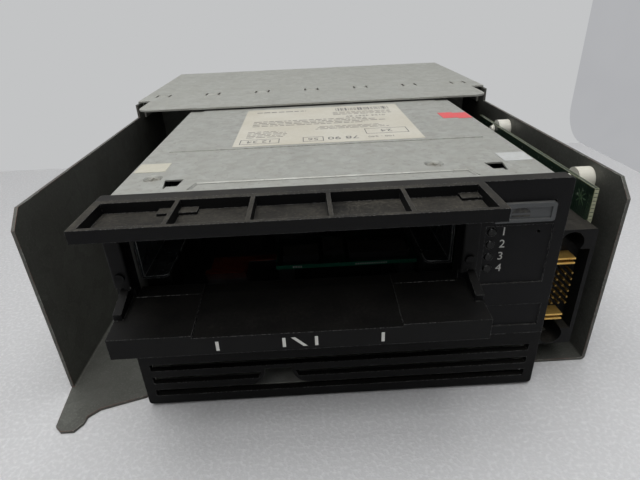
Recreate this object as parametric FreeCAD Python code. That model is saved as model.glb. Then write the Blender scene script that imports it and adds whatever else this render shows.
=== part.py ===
import FreeCAD, Part
import math
import os

# Library data tape drive: a full-height 5.25 inch cartridge drive in its sheet-metal sled.
# Millimetres. Sled frame: origin at the middle of the tray floor's underside, +X right, +Y to the
# rear, +Z up; the drive's bezel faces -Y. Drive frame: x from the drive's mid-plane, y from the
# bezel's front face, z from the floor's underside; in_sled() carries a drive piece to the sled.

V = FreeCAD.Vector

# ---- sled ----
sheet = 1.2                      # sled sheet metal
bend_radius = 2.0                # outside of the tray's bends
tray_width = 213.2
tray_length = 266.0
wall_height = 78.8               # walls beside the drive
box_wall_height = 86.0           # walls of the rear box
box_length = 122.0               # rear box, forward from the tray's rear edge
wall_chamfer = 6.2
tongue_reach = 22.6              # guide tongue ahead of the tray's front edge
tongue_root = 46.0               # width of the tongue where it leaves the floor
cover_sheet = 1.0
cover_front_setback = 6.0        # full-width cover starts behind the box wall's step
cover_overhang = 28.5            # narrower front of the cover, over the drive
cover_side_inset = 7.6
cover_corner_radius = 7.0
cover_flange = 9.0
cover_seam = 0.4                 # bulkhead to the cover's flange
slit_length = 8.0
slit_width = 1.2
slit_gap = 8.0                   # between the two slits of a pair
slit_pitch = 31.6
slit_pairs = 7
slit_row_back = 15.0             # slit row behind the full-width cover's front edge
panel_ear = 12.0                 # rear panel's ears beyond each wall
panel_ear_z = (14.0, 74.0)
panel_lift = 0.5
panel_flange = 12.0
flange_clearance = 0.1
bulkhead_setback = 75.8          # left bulkhead ahead of the box's rear edge
board_shield_setback = 110.0     # right bulkhead ahead of the box's rear edge
bulkhead_flange = 11.0
side_gap = 0.7                   # bulkhead edge to the drive's side

# ---- fan ----
fan_size = 60.0
fan_depth = 20.0
fan_bore_radius = 28.3
fan_hub_radius = 12.5
fan_tip_gap = 0.9
fan_blades = 7
fan_hole_pitch = 50.0
fan_mid_x = -58.0
fan_mid_z = 43.0
fan_axle_radius = 1.5
grille_rings = 4
grille_ring_pitch = 6.4
grille_bar = 2.6

# ---- rear fittings ----
handle_mid_x = -6.0
handle_span = 64.0
handle_reach = 26.0
handle_bar_radius = 3.5
handle_bend_radius = 9.0
knob_radius = 5.0
knob_length = 9.5
knob_grooves = 16
stud_radius = 2.0
stud_reach = 11.0                # stud ahead of the rear panel
shoulder_radius = 2.3            # captive shoulder that turns in the ferrule
shoulder_reach = 0.6
ferrule_neck = 3.0
ferrule_radius = 3.6
ferrule_length = 3.0
ear_screw_z = 43.0
data_port_mid_x = 52.0
data_port_pitch = 30.0
data_port_length = 47.0
data_port_height = 9.6
data_port_reach = 5.5
data_flange_length = 66.0
data_flange_height = 13.0
jack_screw_pitch = 56.0
screw_radius = 1.5               # M3 shanks
screw_head_radius = 2.8
screw_head_height = 1.2
screw_clearance = 0.05           # shank in its thread
hole_clearance = 0.2             # shank in a plain hole

# ---- interface board and blind-mate connector ----
board_sheet = 1.6
board_length = 119.8
board_bottom = 9.0
board_top = 74.3
board_setback = 6.8              # board's front edge behind the tray's front edge
standoff_length = 6.2
standoff_radius = 4.8
standoff_pin_radius = 1.8
standoff_pitch = 80.0
standoff_front = 17.2            # first standoff behind the board's front edge
standoff_top_z = 71.6
standoff_bottom_z = 14.0
connector_ahead = 1.0            # connector face ahead of the tray's front edge
connector_width = 17.4
connector_bottom = 10.8
connector_top = 62.2
connector_mid_z = 36.2
connector_wall_gap = 7.9         # connector's right side to the tray wall's inner face
shroud_depth = 7.4
connector_body_depth = 20.0
cavity_depth = 6.4
cavity_width = 14.4
cavity_height = 36.0
guide_socket_radius = 4.4
guide_socket_pitch = 41.4
guide_socket_depth = 13.0
blade_width = 6.7
blade_sheet = 0.8
blade_pair_gap = 1.9             # between the two blades of a pair, centre to centre
blade_pitch = 25.3               # between the two pairs
blade_recess = 0.6               # blade tips behind the connector's face
pin_side = 0.6
pin_pitch = 2.7
pin_columns = 4
pin_rows = 6
pin_recess = 1.6

# ---- drive ----
drive_mid_x = 3.65               # drive's mid-plane from the tray's
bezel_ahead = 12.0               # bezel face ahead of the tray's front edge
drive_width = 146.0
drive_length = 208.0             # bezel face to rear plate
drive_height = 82.55             # 5.25 inch full height
drive_lift = 1.35                # floor embosses that carry the drive
emboss_radius = 9.0
emboss_taper = 2.5
mount_span_x = 139.7             # 5.25 inch bottom hole pattern
mount_span_y = 79.2
mount_front_y = 52.2
case_sheet = 1.2
top_sheet = 1.0
top_lip = 12.0
lip_gap = 0.1
top_step = 0.35                  # rear field of the top cover stands proud
top_step_y = 55.0
top_step_half = 65.0
top_recess_half = 46.6
top_recess_y = (10.7, 17.2)
top_recess_depth = 0.6
window_width = 6.6
window_length = 8.4
window_places = ((-54.8, 17.3), (57.2, 18.8))
dimple_radius = 3.4
dimple_depth = 1.1
dimple_places = ((-63.0, 23.6), (36.6, 24.6), (-60.0, drive_length - 16.0), (60.0, drive_length - 16.0))

# ---- bezel ----
bezel_width = 149.0
bezel_top = 86.5
bezel_bottom = 1.5
bezel_depth = 4.8
bezel_skin = 2.4
bezel_rim = 2.0
bezel_seam = 0.15                # between bezel and drive case
bezel_corner = 1.4
vent_top = 26.5                  # top of the vent panel
panel_seam = 0.2
vent_half = 70.9
vent_height = 3.0
vent_pitch = 6.15
vent_first_z = 5.5
notch_mid_x = -23.6              # flared finger notch between the vent rows
notch_top_half = 4.9
notch_flare_half = 11.5
notch_bar = 1.5
slot_mid_x = -14.0               # cartridge slot's mid-plane
slot_width = 109.2
slot_bottom = 49.6
slot_top = 77.0
led_x = 50.6
led_z = (54.7, 59.3, 63.9, 68.5)
led_radius = 1.5
led_clearance = 0.1
lamp_field = (48.4, 70.5, 48.5, 70.8)
badge_field = (48.4, 72.0, 30.1, 39.3)
field_depth = 0.5
pinhole = (66.1, 68.0, 0.6)
button_field = (50.3, 69.9, 72.2, 79.2)
button_clearance = 0.2
button_proud = 1.3
button_travel = 0.9
switch_gap = 1.0

# ---- funnel ----
funnel_reach = 20.5              # ahead of the bezel face
funnel_half = 59.7
lip_front_wall = 1.4
lip_front_height = 4.0
lip_back_wall = 2.0
lip_end_wall = 2.5
lip_rib = 1.3
lip_rib_pitch = 22.6
lip_ribs = 4
lip_floor = 1.8                  # skin under the cells
cell_depth = 3.4                 # cell floors below the lip's top
funnel_screw_head = 1.6
ramp_front_bottom = 42.1
ramp_front_top = 49.5
ramp_back_top = 51.8
ramp_back_bottom = 44.0
ramp_wall = 2.0
ramp_tongue = 5.5                # ramp's tongue into the slot
ramp_middle_half = 32.3
ramp_middle_depth = 1.0
ramp_ribs = 5
rail_width = 2.8
rail_length = 12.0
rail_nose = 3.2                  # fin's blunt front end above the ramp's front edge
rail_top = 56.0
post_width = 5.4
post_depth = 3.2
post_bottom = 57.0
post_foot_width = 2.4

# ---- mechanism ----
deck_bottom = 36.0
deck_sheet = 4.0
deck_front = 14.0
deck_rear = 202.0
rail_bar_width = 9.0
rail_bar_top = 51.3
flex_top = 44.4                  # folded end of the flex lead
carriage_sheet = 1.0
carriage_inner = 110.0
carriage_front = 11.0
carriage_length = 97.0
carriage_bottom = 51.6
carriage_top = 77.4
carriage_ledge = 9.5
carriage_travel = 14.0
bridge_length = 40.0
rack_module = 1.0
pinion_teeth = 16
pinion_y = 90.0
pinion_z = 60.0
pinion_height = 6.0
gear_module = 0.8
gear_teeth = 26
gear_z = 42.0
gear_height = 4.0
motor_teeth = 14
motor_angle = 60.0
motor_radius = 8.0
motor_length = 17.0
backlash = 0.12
axle_radius = 1.5
running_gap = 0.05
chuck_y = 65.0
chuck_radius = 14.5
chuck_hole_radius = 17.0
chuck_teeth = 20
chuck_top = 50.6
reel_motor_radius = 27.0
reel_motor_height = 11.0
takeup_x = 22.0
takeup_y = 162.0
takeup_radius = 38.0
takeup_hub_radius = 22.0
takeup_bottom = 43.0
takeup_flange = 1.4
tape_width = 12.65
roller_radius = 6.0
roller_flange_radius = 7.4
roller_places = ((-48.0, 131.0), (-60.0, 143.0), (-60.0, 173.0), (-47.0, 188.0))
head_x = -46.0
head_y = 158.0
head_width = 16.0
head_depth = 16.0
head_height = 15.0
head_shaft_pitch = 9.0
head_travel = 3.5
circuit_z = 12.0
circuit_half = 64.0
circuit_y = (16.0, drive_length - 10.0)
circuit_post_radius = 3.0

# ---- worked out from the sizes above ----
front_y = -tray_length / 2.0
rear_y = tray_length / 2.0
inner_x = tray_width / 2.0 - sheet
bezel_y = front_y - bezel_ahead
box_front_y = rear_y - box_length
cover_front_y = box_front_y + cover_front_setback
drive_bottom = sheet + drive_lift
drive_top = drive_bottom + drive_height
case_half = drive_width / 2.0 - top_sheet - lip_gap
case_front_y = bezel_depth + bezel_seam
ear_screw_x = tray_width / 2.0 + panel_ear / 2.0
board_x = inner_x - standoff_length - board_sheet
board_front_y = front_y + board_setback
connector_y = front_y - connector_ahead
connector_x = inner_x - connector_wall_gap - connector_width / 2.0
deck_top = deck_bottom + deck_sheet
deck_half = case_half - case_sheet
carriage_half = carriage_inner / 2.0 + carriage_sheet
rack_line_x = slot_mid_x + carriage_half + 3.0
pinion_radius = rack_module * pinion_teeth / 2.0
pinion_x = rack_line_x + pinion_radius
gear_radius = gear_module * gear_teeth / 2.0
motor_gear_radius = gear_module * motor_teeth / 2.0
motor_x = pinion_x + (gear_radius + motor_gear_radius) * math.cos(math.radians(motor_angle))
motor_y = pinion_y + (gear_radius + motor_gear_radius) * math.sin(math.radians(motor_angle))


# ---- shape helpers ----
def block(x, y, z):
    return Part.makeBox(x[1] - x[0], y[1] - y[0], z[1] - z[0], V(x[0], y[0], z[0]))


def rod(axis, centre, radius, start, end):
    """A cylinder along axis; centre holds the other two coordinates in X, Y, Z order."""
    a, b = centre
    base, way = {"x": (V(start, a, b), V(1, 0, 0)), "y": (V(a, start, b), V(0, 1, 0)),
                 "z": (V(a, b, start), V(0, 0, 1))}[axis]
    return Part.makeCylinder(radius, end - start, base, way)


def cone(centre, radii, z):
    return Part.makeCone(radii[0], radii[1], z[1] - z[0], V(centre[0], centre[1], z[0]), V(0, 0, 1))


def outline(axis, points, start, end):
    """A closed outline extruded along axis; points hold the other two coordinates in order."""
    place = {"x": lambda a, b: V(start, a, b), "y": lambda a, b: V(a, start, b),
             "z": lambda a, b: V(a, b, start)}[axis]
    corners = [place(a, b) for a, b in points]
    way = {"x": V(end - start, 0, 0), "y": V(0, end - start, 0), "z": V(0, 0, end - start)}[axis]
    return Part.Face(Part.makePolygon(corners + corners[:1])).extrude(way)


def along(shape, axis, test=lambda point: True):
    """Straight edges parallel to axis whose middle passes test."""
    way = {"x": V(1, 0, 0), "y": V(0, 1, 0), "z": V(0, 0, 1)}[axis]
    found = []
    for edge in shape.Edges:
        if len(edge.Vertexes) == 2 and isinstance(edge.Curve, (Part.Line, Part.LineSegment)):
            run = edge.Vertexes[1].Point - edge.Vertexes[0].Point
            middle = (edge.Vertexes[1].Point + edge.Vertexes[0].Point) * 0.5
            if run.cross(way).Length < 1e-6 and test(middle):
                found.append(edge)
    return found


def joined(shapes):
    return shapes[0].multiFuse(shapes[1:]).removeSplitter() if len(shapes) > 1 else shapes[0]


def carved(shape, tools):
    return shape.cut(tools) if tools else shape


def in_sled(shape):
    moved = shape.copy()
    moved.translate(V(drive_mid_x, bezel_y, 0))
    return moved


def save(name, shapes):
    group = shapes if isinstance(shapes, list) else [shapes]
    solids = [solid for shape in group for solid in shape.Solids]
    whole = solids[0] if len(solids) == 1 else Part.makeCompound(solids)
    if not whole.isValid():
        print("not valid:", name)
    whole.exportStep("parts/" + name + ".step")
    print("%-24s solids %3d  volume %10.1f" % (name, len(solids), whole.Volume))


def gear_outline(module, teeth, phase, root_cut=1.25):
    """Corner points of an involute spur gear about the origin, one tooth centred on phase degrees."""
    pressure = math.radians(20)
    pitch = module * teeth / 2.0
    base = pitch * math.cos(pressure)
    root, tip = pitch - root_cut * module, pitch + module
    half = math.pi / (2 * teeth) - backlash / (2 * pitch)
    involute = lambda angle: math.tan(angle) - angle
    spread = lambda r: half + involute(pressure) - involute(math.acos(min(1.0, base / r)))
    radii = [max(base, root) + (tip - max(base, root)) * k / 3.0 for k in range(4)]
    flank = [(root, spread(radii[0]))] if base > root else []
    flank += [(r, spread(r)) for r in radii]
    points = []
    for tooth in range(teeth):
        middle = math.radians(phase) + 2 * math.pi * tooth / teeth
        side = [(r, middle - a) for r, a in flank] + [(r, middle + a) for r, a in reversed(flank)]
        points += [(r * math.cos(a), r * math.sin(a)) for r, a in side]
    return points


def gear(module, teeth, centre, z, phase):
    points = [(centre[0] + a, centre[1] + b) for a, b in gear_outline(module, teeth, phase)]
    return outline("z", points, z[0], z[1])


# ---- sled ----
def mount_points():
    """The drive's four bottom holes, in the sled frame."""
    return [(drive_mid_x + side * mount_span_x / 2.0, bezel_y + mount_front_y + row * mount_span_y)
            for side in (-1, 1) for row in (0, 1)]


def sled_tray():
    half = tray_width / 2.0
    outer = block((-half, half), (front_y, rear_y), (0, box_wall_height))
    outer = outer.makeFillet(bend_radius, along(outer, "y", lambda p: p.z < 1))
    inner = block((-inner_x, inner_x), (front_y - 1, rear_y + 1), (sheet, box_wall_height + 1))
    inner = inner.makeFillet(bend_radius - sheet, along(inner, "y", lambda p: p.z < sheet + 1))
    side = outline("x", [(front_y, 0), (rear_y, 0), (rear_y, box_wall_height),
                         (box_front_y, box_wall_height), (box_front_y, wall_height),
                         (front_y + wall_chamfer, wall_height), (front_y, wall_height - wall_chamfer)],
                   -half - 1, half + 1)
    tip = tongue_reach
    tongue = outline("z", [(-half + bend_radius, front_y), (-half + 0.3, front_y),
                           (-half + 3.0, front_y - tip + 2.5), (-half + 5.7, front_y - tip),
                           (-half + 10.5, front_y - tip), (-half + 12.8, front_y - tip + 3.4),
                           (-half + 13.1, front_y - tip + 6.6), (-half + 16.7, front_y - tip + 10.1),
                           (-half + tongue_root - 13.3, front_y - tip + 15.3),
                           (-half + tongue_root, front_y)], 0, sheet)
    tray = joined([outer.cut(inner).common(side), tongue])
    rise = (sheet, sheet + drive_lift)
    tops = [cone(p, (emboss_radius, emboss_radius - emboss_taper), rise) for p in mount_points()]
    tray = joined([tray] + tops)
    hollow = [cone(p, (emboss_radius - sheet, emboss_radius - emboss_taper - sheet), (0, drive_lift))
              for p in mount_points()]
    hollow += [rod("z", p, screw_radius + hole_clearance, -1, sheet + drive_lift + 1) for p in mount_points()]
    hollow += [rod("x", p, standoff_pin_radius + hole_clearance, inner_x - 1, half + 1)
               for p in standoff_points()]
    hollow += [rod("x", p, screw_radius + hole_clearance, s * half - 2, s * half + 2)
               for s in (-1, 1) for p in wall_screw_points()]
    return carved(tray, hollow)


def wall_screw_points():
    """Screws through each wall, as (y, z): two into the cover's flange, two into the rear panel's."""
    cover_z = box_wall_height - cover_flange / 2.0
    panel_y = rear_y - panel_flange / 2.0
    return [(cover_front_y + 12.0, cover_z), (rear_y - 24.0, cover_z), (panel_y, 20.0), (panel_y, 60.0)]


def case_screws():
    screws = []
    for s in (-1, 1):
        for y, z in wall_screw_points():
            face = s * tray_width / 2.0
            depth = s * (inner_x - flange_clearance - sheet)
            head = rod("x", (y, z), screw_head_radius, min(face, face + s * screw_head_height),
                       max(face, face + s * screw_head_height))
            shank = rod("x", (y, z), screw_radius, min(face, depth), max(face, depth))
            slot = block((min(face + s * 0.6, face + s * 2), max(face + s * 0.6, face + s * 2)),
                         (y - 0.4, y + 0.4), (z - 1.9, z + 1.9))
            slot = joined([slot, slot.copy().rotate(V(face, y, z), V(1, 0, 0), 90)])
            screws.append(joined([head, shank]).cut(slot))
    return screws


def rear_cover():
    half = tray_width / 2.0
    top = (box_wall_height, box_wall_height + cover_sheet)
    plate = block((-half, half), (cover_front_y, rear_y + sheet), top)
    front = block((-half + cover_side_inset, half - cover_side_inset),
                  (cover_front_y - cover_overhang, cover_front_y), top)
    front = front.makeFillet(cover_corner_radius, along(front, "z", lambda p: p.y < cover_front_y - 1))
    flanges = []
    for s in (-1, 1):
        outer = s * (inner_x - flange_clearance)
        x = sorted((outer, outer - s * cover_sheet))
        flange = block(x, (cover_front_y + 3.0, rear_y - panel_flange - 4.0),
                       (box_wall_height - cover_flange, box_wall_height))
        flanges.append(flange)
    cover = joined([plate, front] + flanges)
    tools = []
    for k in range(slit_pairs):
        middle = (k - (slit_pairs - 1) / 2.0) * slit_pitch
        y = cover_front_y + slit_row_back
        for s in (-1, 1):
            x = middle + s * slit_gap / 2.0
            tools.append(block((x - slit_width / 2.0, x + slit_width / 2.0),
                               (y - slit_length / 2.0, y + slit_length / 2.0), (top[0] - 1, top[1] + 1)))
    for s in (-1, 1):
        for y, z in wall_screw_points()[:2]:
            tools.append(rod("x", (y, z), screw_radius + screw_clearance,
                             s * inner_x - 4, s * inner_x + 4))
    return carved(cover, tools)


def fan_hole_points():
    step = fan_hole_pitch / 2.0
    return [(fan_mid_x + a * step, fan_mid_z + b * step) for a in (-1, 1) for b in (-1, 1)]


def data_port_points():
    return [(data_port_mid_x, ear_screw_z + s * data_port_pitch / 2.0) for s in (-1, 1)]


def port_outline(middle_x, middle_z, length, height, slant):
    """A D-shaped port: long side on top."""
    a, b = length / 2.0, height / 2.0
    return [(middle_x - a, middle_z + b), (middle_x + a, middle_z + b),
            (middle_x + a - slant, middle_z - b), (middle_x - a + slant, middle_z - b)]


def rear_panel():
    half = tray_width / 2.0
    ears = block((-half - panel_ear, half + panel_ear), (rear_y, rear_y + sheet), panel_ear_z)
    ears = ears.makeFillet(3.0, along(ears, "y"))
    plate = joined([ears, block((-half, half), (rear_y, rear_y + sheet), (panel_lift, box_wall_height))])
    flanges = []
    for s in (-1, 1):
        outer = s * (inner_x - flange_clearance)
        flanges.append(block(sorted((outer, outer - s * sheet)), (rear_y - panel_flange, rear_y),
                             (8.0, 72.0)))
    panel = joined([plate] + flanges)
    through = (rear_y - 1, rear_y + sheet + 1)
    tools = []
    for k in range(grille_rings):
        inside = 6.0 + k * grille_ring_pitch
        ring = rod("y", (fan_mid_x, fan_mid_z), inside + grille_ring_pitch - grille_bar, *through)
        ring = ring.cut(rod("y", (fan_mid_x, fan_mid_z), inside, *through))
        for turn in (45, 135):
            spoke = block((fan_mid_x - fan_size, fan_mid_x + fan_size), through,
                          (fan_mid_z - grille_bar / 2.0, fan_mid_z + grille_bar / 2.0))
            ring = ring.cut(spoke.rotate(V(fan_mid_x, 0, fan_mid_z), V(0, 1, 0), turn))
        tools.append(ring)
    tools += [rod("y", p, screw_radius + hole_clearance, *through) for p in fan_hole_points()]
    tools += [rod("y", p, screw_radius + hole_clearance, *through) for p in handle_feet()]
    tools += [rod("y", (s * ear_screw_x, ear_screw_z), ferrule_neck + screw_clearance, *through)
              for s in (-1, 1)]
    for x, z in data_port_points():
        tools.append(outline("y", port_outline(x, z, data_port_length + 1, data_port_height + 1, 2.5),
                             *through))
        tools += [rod("y", (x + s * jack_screw_pitch / 2.0, z), screw_radius + hole_clearance, *through)
                  for s in (-1, 1)]
    for s in (-1, 1):
        for y, z in wall_screw_points()[2:]:
            tools.append(rod("x", (y, z), screw_radius + screw_clearance, s * inner_x - 4, s * inner_x + 4))
    return carved(panel, tools)


def bulkhead_left():
    y = rear_y - bulkhead_setback - sheet
    right = drive_mid_x - drive_width / 2.0 - side_gap
    left = -inner_x + flange_clearance
    plate = block((left, right), (y, y + sheet), (sheet, box_wall_height - 0.3))
    corner = cover_sheet + cover_seam
    plate = plate.cut([block((left - 1, left + corner), (y - 1, y + sheet + 1),
                             (box_wall_height - cover_flange - cover_seam, box_wall_height)),
                       block((left - 1, left + bend_radius), (y - 1, y + sheet + 1), (0, 2 * sheet))])
    foot = block((left + 4, right - 2), (y - bulkhead_flange, y + sheet), (sheet, 2 * sheet))
    side = block((left, left + sheet), (y, y + sheet + bulkhead_flange),
                 (6.0, box_wall_height - cover_flange - 2))
    return joined([plate, foot, side])


def bulkhead_right():
    y = rear_y - board_shield_setback - sheet
    left = drive_mid_x + drive_width / 2.0 + side_gap
    plate = block((left, board_x - 1.5), (y, y + sheet), (sheet, box_wall_height - 2.0))
    plate = plate.makeFillet(3.0, along(plate, "y", lambda p: p.z > sheet + 1))
    foot = block((left + 1, board_x - 2.5), (y, y + bulkhead_flange), (sheet, 2 * sheet))
    return joined([plate, foot])


# ---- fan ----
def fan_frame():
    half = fan_size / 2.0
    y = (rear_y - fan_depth, rear_y)
    body = block((fan_mid_x - half, fan_mid_x + half), y, (fan_mid_z - half, fan_mid_z + half))
    body = body.makeFillet(4.0, along(body, "y"))
    body = body.cut(rod("y", (fan_mid_x, fan_mid_z), fan_bore_radius, y[0] - 1, y[1] + 1))
    seat = rod("y", (fan_mid_x, fan_mid_z), fan_hub_radius + 0.8, y[0], y[0] + 3.0)
    struts = []
    for turn in (20, 140, 260):
        strut = block((fan_mid_x + 4, fan_mid_x + fan_bore_radius + 1), (y[0], y[0] + 3.0),
                      (fan_mid_z - 1.6, fan_mid_z + 1.6))
        struts.append(strut.rotate(V(fan_mid_x, 0, fan_mid_z), V(0, 1, 0), turn))
    axle = rod("y", (fan_mid_x, fan_mid_z), fan_axle_radius, y[0] + 1, y[1] - 4.0)
    body = joined([body, seat] + struts + [axle])
    return carved(body, [rod("y", p, screw_radius + screw_clearance, y[0] - 1, y[1] + 1)
                         for p in fan_hole_points()])


def fan_rotor():
    y = (rear_y - fan_depth + 3.4, rear_y - 2.0)
    tip = fan_bore_radius - fan_tip_gap
    hub = rod("y", (0, 0), fan_hub_radius, *y)
    blades = []
    for k in range(fan_blades):
        sections = []
        for radius, pitch in ((fan_hub_radius - 1.0, 42.0), (tip, 28.0)):
            rise = 5.6
            run = rise / math.tan(math.radians(90 - pitch)) + 4.0
            middle = (y[0] + y[1]) / 2.0
            corners = [V(-run, middle - rise, radius), V(-run + 1.6, middle - rise, radius),
                       V(run, middle + rise, radius), V(run - 1.6, middle + rise, radius)]
            sections.append(Part.makePolygon(corners + corners[:1]))
        blade = Part.makeLoft(sections, True, True)
        blades.append(blade.rotate(V(0, 0, 0), V(0, 1, 0), 360.0 * k / fan_blades))
    limit = rod("y", (0, 0), tip, *y)
    rotor = joined([hub] + [blade.common(limit) for blade in blades])
    rotor = rotor.cut(rod("y", (0, 0), fan_axle_radius + running_gap, y[0] - 1, y[1] - 1.6))
    rotor.translate(V(fan_mid_x, 0, fan_mid_z))
    return rotor


def panel_screws():
    """Pan-head screws that hold the fan and the handle, heads on the panel's outside and inside."""
    outside = rear_y + sheet
    screws = []
    for p in fan_hole_points():
        head = rod("y", p, screw_head_radius, outside, outside + screw_head_height)
        screws.append(joined([head, rod("y", p, screw_radius, rear_y - 9.0, outside)]))
    for p in handle_feet():
        head = rod("y", p, screw_head_radius, rear_y - screw_head_height, rear_y)
        screws.append(joined([head, rod("y", p, screw_radius, rear_y, outside + 6.0)]))
    return screws


# ---- rear fittings ----
def handle_feet():
    return [(handle_mid_x, ear_screw_z + s * handle_span / 2.0) for s in (-1, 1)]


def pull_handle():
    (x, low), (_, high) = handle_feet()
    start, out = rear_y + sheet, rear_y + sheet + handle_reach - handle_bar_radius
    r = handle_bend_radius
    turn = r * (1 - math.sqrt(0.5))
    path = Part.Wire([
        Part.makeLine(V(x, start, low), V(x, out - r, low)),
        Part.Arc(V(x, out - r, low), V(x, out - turn, low + turn), V(x, out, low + r)).toShape(),
        Part.makeLine(V(x, out, low + r), V(x, out, high - r)),
        Part.Arc(V(x, out, high - r), V(x, out - turn, high - turn), V(x, out - r, high)).toShape(),
        Part.makeLine(V(x, out - r, high), V(x, start, high))])
    ring = Part.Wire(Part.makeCircle(handle_bar_radius, V(x, start, low), V(0, 1, 0)))
    bar = path.makePipeShell([ring], True, False)
    feet = [rod("y", p, handle_bar_radius + 1.6, start, start + 2.0) for p in handle_feet()]
    bar = joined([bar] + feet)
    return carved(bar, [rod("y", p, screw_radius + screw_clearance, start - 1, start + 7.0)
                        for p in handle_feet()])


def thumbscrew(side):
    centre = (side * ear_screw_x, ear_screw_z)
    start = rear_y + sheet + ferrule_length + 0.3
    knob = rod("y", centre, knob_radius, start, start + knob_length)
    knob = knob.makeChamfer(0.7, [e for e in knob.Edges if isinstance(e.Curve, Part.Circle)])
    grooves = []
    for k in range(knob_grooves):
        groove = rod("y", (centre[0] + knob_radius + 0.25, centre[1]), 0.6, start + 1.2,
                     start + knob_length - 1.2)
        grooves.append(groove.rotate(V(centre[0], 0, centre[1]), V(0, 1, 0), 360.0 * k / knob_grooves))
    slot = block((centre[0] - 0.6, centre[0] + 0.6), (start + knob_length - 1.4, start + knob_length + 1),
                 (centre[1] - knob_radius, centre[1] + knob_radius))
    stud = rod("y", centre, stud_radius, rear_y - stud_reach, rear_y - shoulder_reach)
    shoulder = rod("y", centre, shoulder_radius, rear_y - shoulder_reach, start)
    stud = stud.makeChamfer(0.5, [e for e in stud.Edges if isinstance(e.Curve, Part.Circle) and
                                  e.CenterOfMass.y < rear_y - stud_reach + 0.1])
    return joined([carved(knob, grooves + [slot]), stud, shoulder])


def thumbscrew_ferrules():
    rings = []
    for s in (-1, 1):
        centre = (s * ear_screw_x, ear_screw_z)
        outside = rear_y + sheet
        body = joined([rod("y", centre, ferrule_radius, outside, outside + ferrule_length),
                       rod("y", centre, ferrule_neck, rear_y, outside)])
        rings.append(body.cut(rod("y", centre, shoulder_radius + running_gap, rear_y - 1,
                                  outside + ferrule_length + 1)))
    return rings


def data_connectors():
    ports = []
    for x, z in data_port_points():
        flange = block((x - data_flange_length / 2.0, x + data_flange_length / 2.0), (rear_y - 1.5, rear_y),
                       (z - data_flange_height / 2.0, z + data_flange_height / 2.0))
        out = rear_y + sheet + data_port_reach
        shell = outline("y", port_outline(x, z, data_port_length, data_port_height, 2.4), rear_y - 10.0, out)
        hollow = outline("y", port_outline(x, z, data_port_length - 2, data_port_height - 2, 2.2),
                         rear_y + sheet - 4.0, out + 1)
        tongue = block((x - data_port_length / 2.0 + 5, x + data_port_length / 2.0 - 5),
                       (rear_y + sheet - 4.0, out - 1.5), (z - 1.5, z + 1.5))
        holes = [rod("y", (x + s * jack_screw_pitch / 2.0, z), screw_radius + screw_clearance,
                     rear_y - 2, rear_y + 1) for s in (-1, 1)]
        ports.append(joined([carved(joined([flange, shell]), [hollow] + holes), tongue]))
    return ports


def jack_screws():
    screws = []
    for x, z in data_port_points():
        for s in (-1, 1):
            a = x + s * jack_screw_pitch / 2.0
            start = rear_y + sheet
            corners = [(a + 2.6 * math.cos(math.radians(60 * k)), z + 2.6 * math.sin(math.radians(60 * k)))
                       for k in range(6)]
            hexagon = outline("y", corners, start, start + 4.5)
            shank = rod("y", (a, z), screw_radius, rear_y - 4.0, start)
            screws.append(joined([hexagon, shank]).cut(rod("y", (a, z), 1.2, start + 1.0, start + 5)))
    return screws


# ---- interface board ----
def standoff_points():
    """Standoff axes as (y, z) in the sled frame."""
    y = board_front_y + standoff_front
    return [(y + row * standoff_pitch, z) for row in (0, 1) for z in (standoff_top_z, standoff_bottom_z)]


def interface_board():
    plate = block((board_x, board_x + board_sheet), (board_front_y, board_front_y + board_length),
                  (board_bottom, board_top))
    holes = [rod("x", p, standoff_pin_radius + hole_clearance, board_x - 1, board_x + board_sheet + 1)
             for p in standoff_points()]
    return carved(plate, holes)


def board_standoffs():
    stands = []
    left, right = board_x + board_sheet, inner_x
    for p in standoff_points():
        body = rod("x", p, standoff_radius, left, right)
        through = rod("x", p, standoff_pin_radius, board_x - 1.6, right + sheet)
        barb = Part.makeCone(1.2, standoff_pin_radius + 0.7, 1.4, V(board_x - 1.6, p[0], p[1]), V(1, 0, 0))
        stands.append(joined([body, through, barb]))
    return stands


def board_chips():
    face = board_x
    y = board_front_y
    sizes = [(36.0, 30.0, 20.0, 20.0, 2.4), (66.0, 26.0, 14.0, 14.0, 1.6), (66.0, 48.0, 14.0, 10.0, 1.6),
             (88.0, 32.0, 10.0, 22.0, 6.5), (44.0, 56.0, 9.0, 6.0, 1.4), (104.0, 30.0, 6.0, 40.0, 7.5)]
    return [block((face - deep, face), (y + a, y + a + long), (b, b + tall))
            for a, b, long, tall, deep in sizes]


def blind_mate_housing():
    half = connector_width / 2.0
    shroud = block((connector_x - half, connector_x + half), (connector_y, connector_y + shroud_depth),
                   (connector_bottom, connector_top))
    shroud = shroud.makeFillet(0.8, along(shroud, "y"))
    body = block((connector_x - half + 0.6, board_x), (connector_y + shroud_depth - 0.5,
                 connector_y + connector_body_depth), (connector_bottom + 1.0, connector_top - 1.0))
    housing = joined([shroud, body])
    depth = connector_y + cavity_depth
    cavity = block((connector_x - cavity_width / 2.0, connector_x + cavity_width / 2.0),
                   (connector_y - 1, depth),
                   (connector_mid_z - cavity_height / 2.0, connector_mid_z + cavity_height / 2.0))
    sockets = [rod("y", p, guide_socket_radius, connector_y - 1, connector_y + guide_socket_depth)
               for p in guide_socket_points()]
    feet = [block(*contact_box(box, 0.05)) for box in blade_boxes() + pin_boxes()]
    return carved(housing, [cavity] + sockets + feet)


def guide_socket_points():
    return [(connector_x, connector_mid_z + s * guide_socket_pitch / 2.0) for s in (-1, 1)]


def contact_box(box, ease):
    (x0, x1), (y0, y1), (z0, z1) = box
    return (x0 - ease, x1 + ease), (y0, y1), (z0 - ease, z1 + ease)


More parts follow.
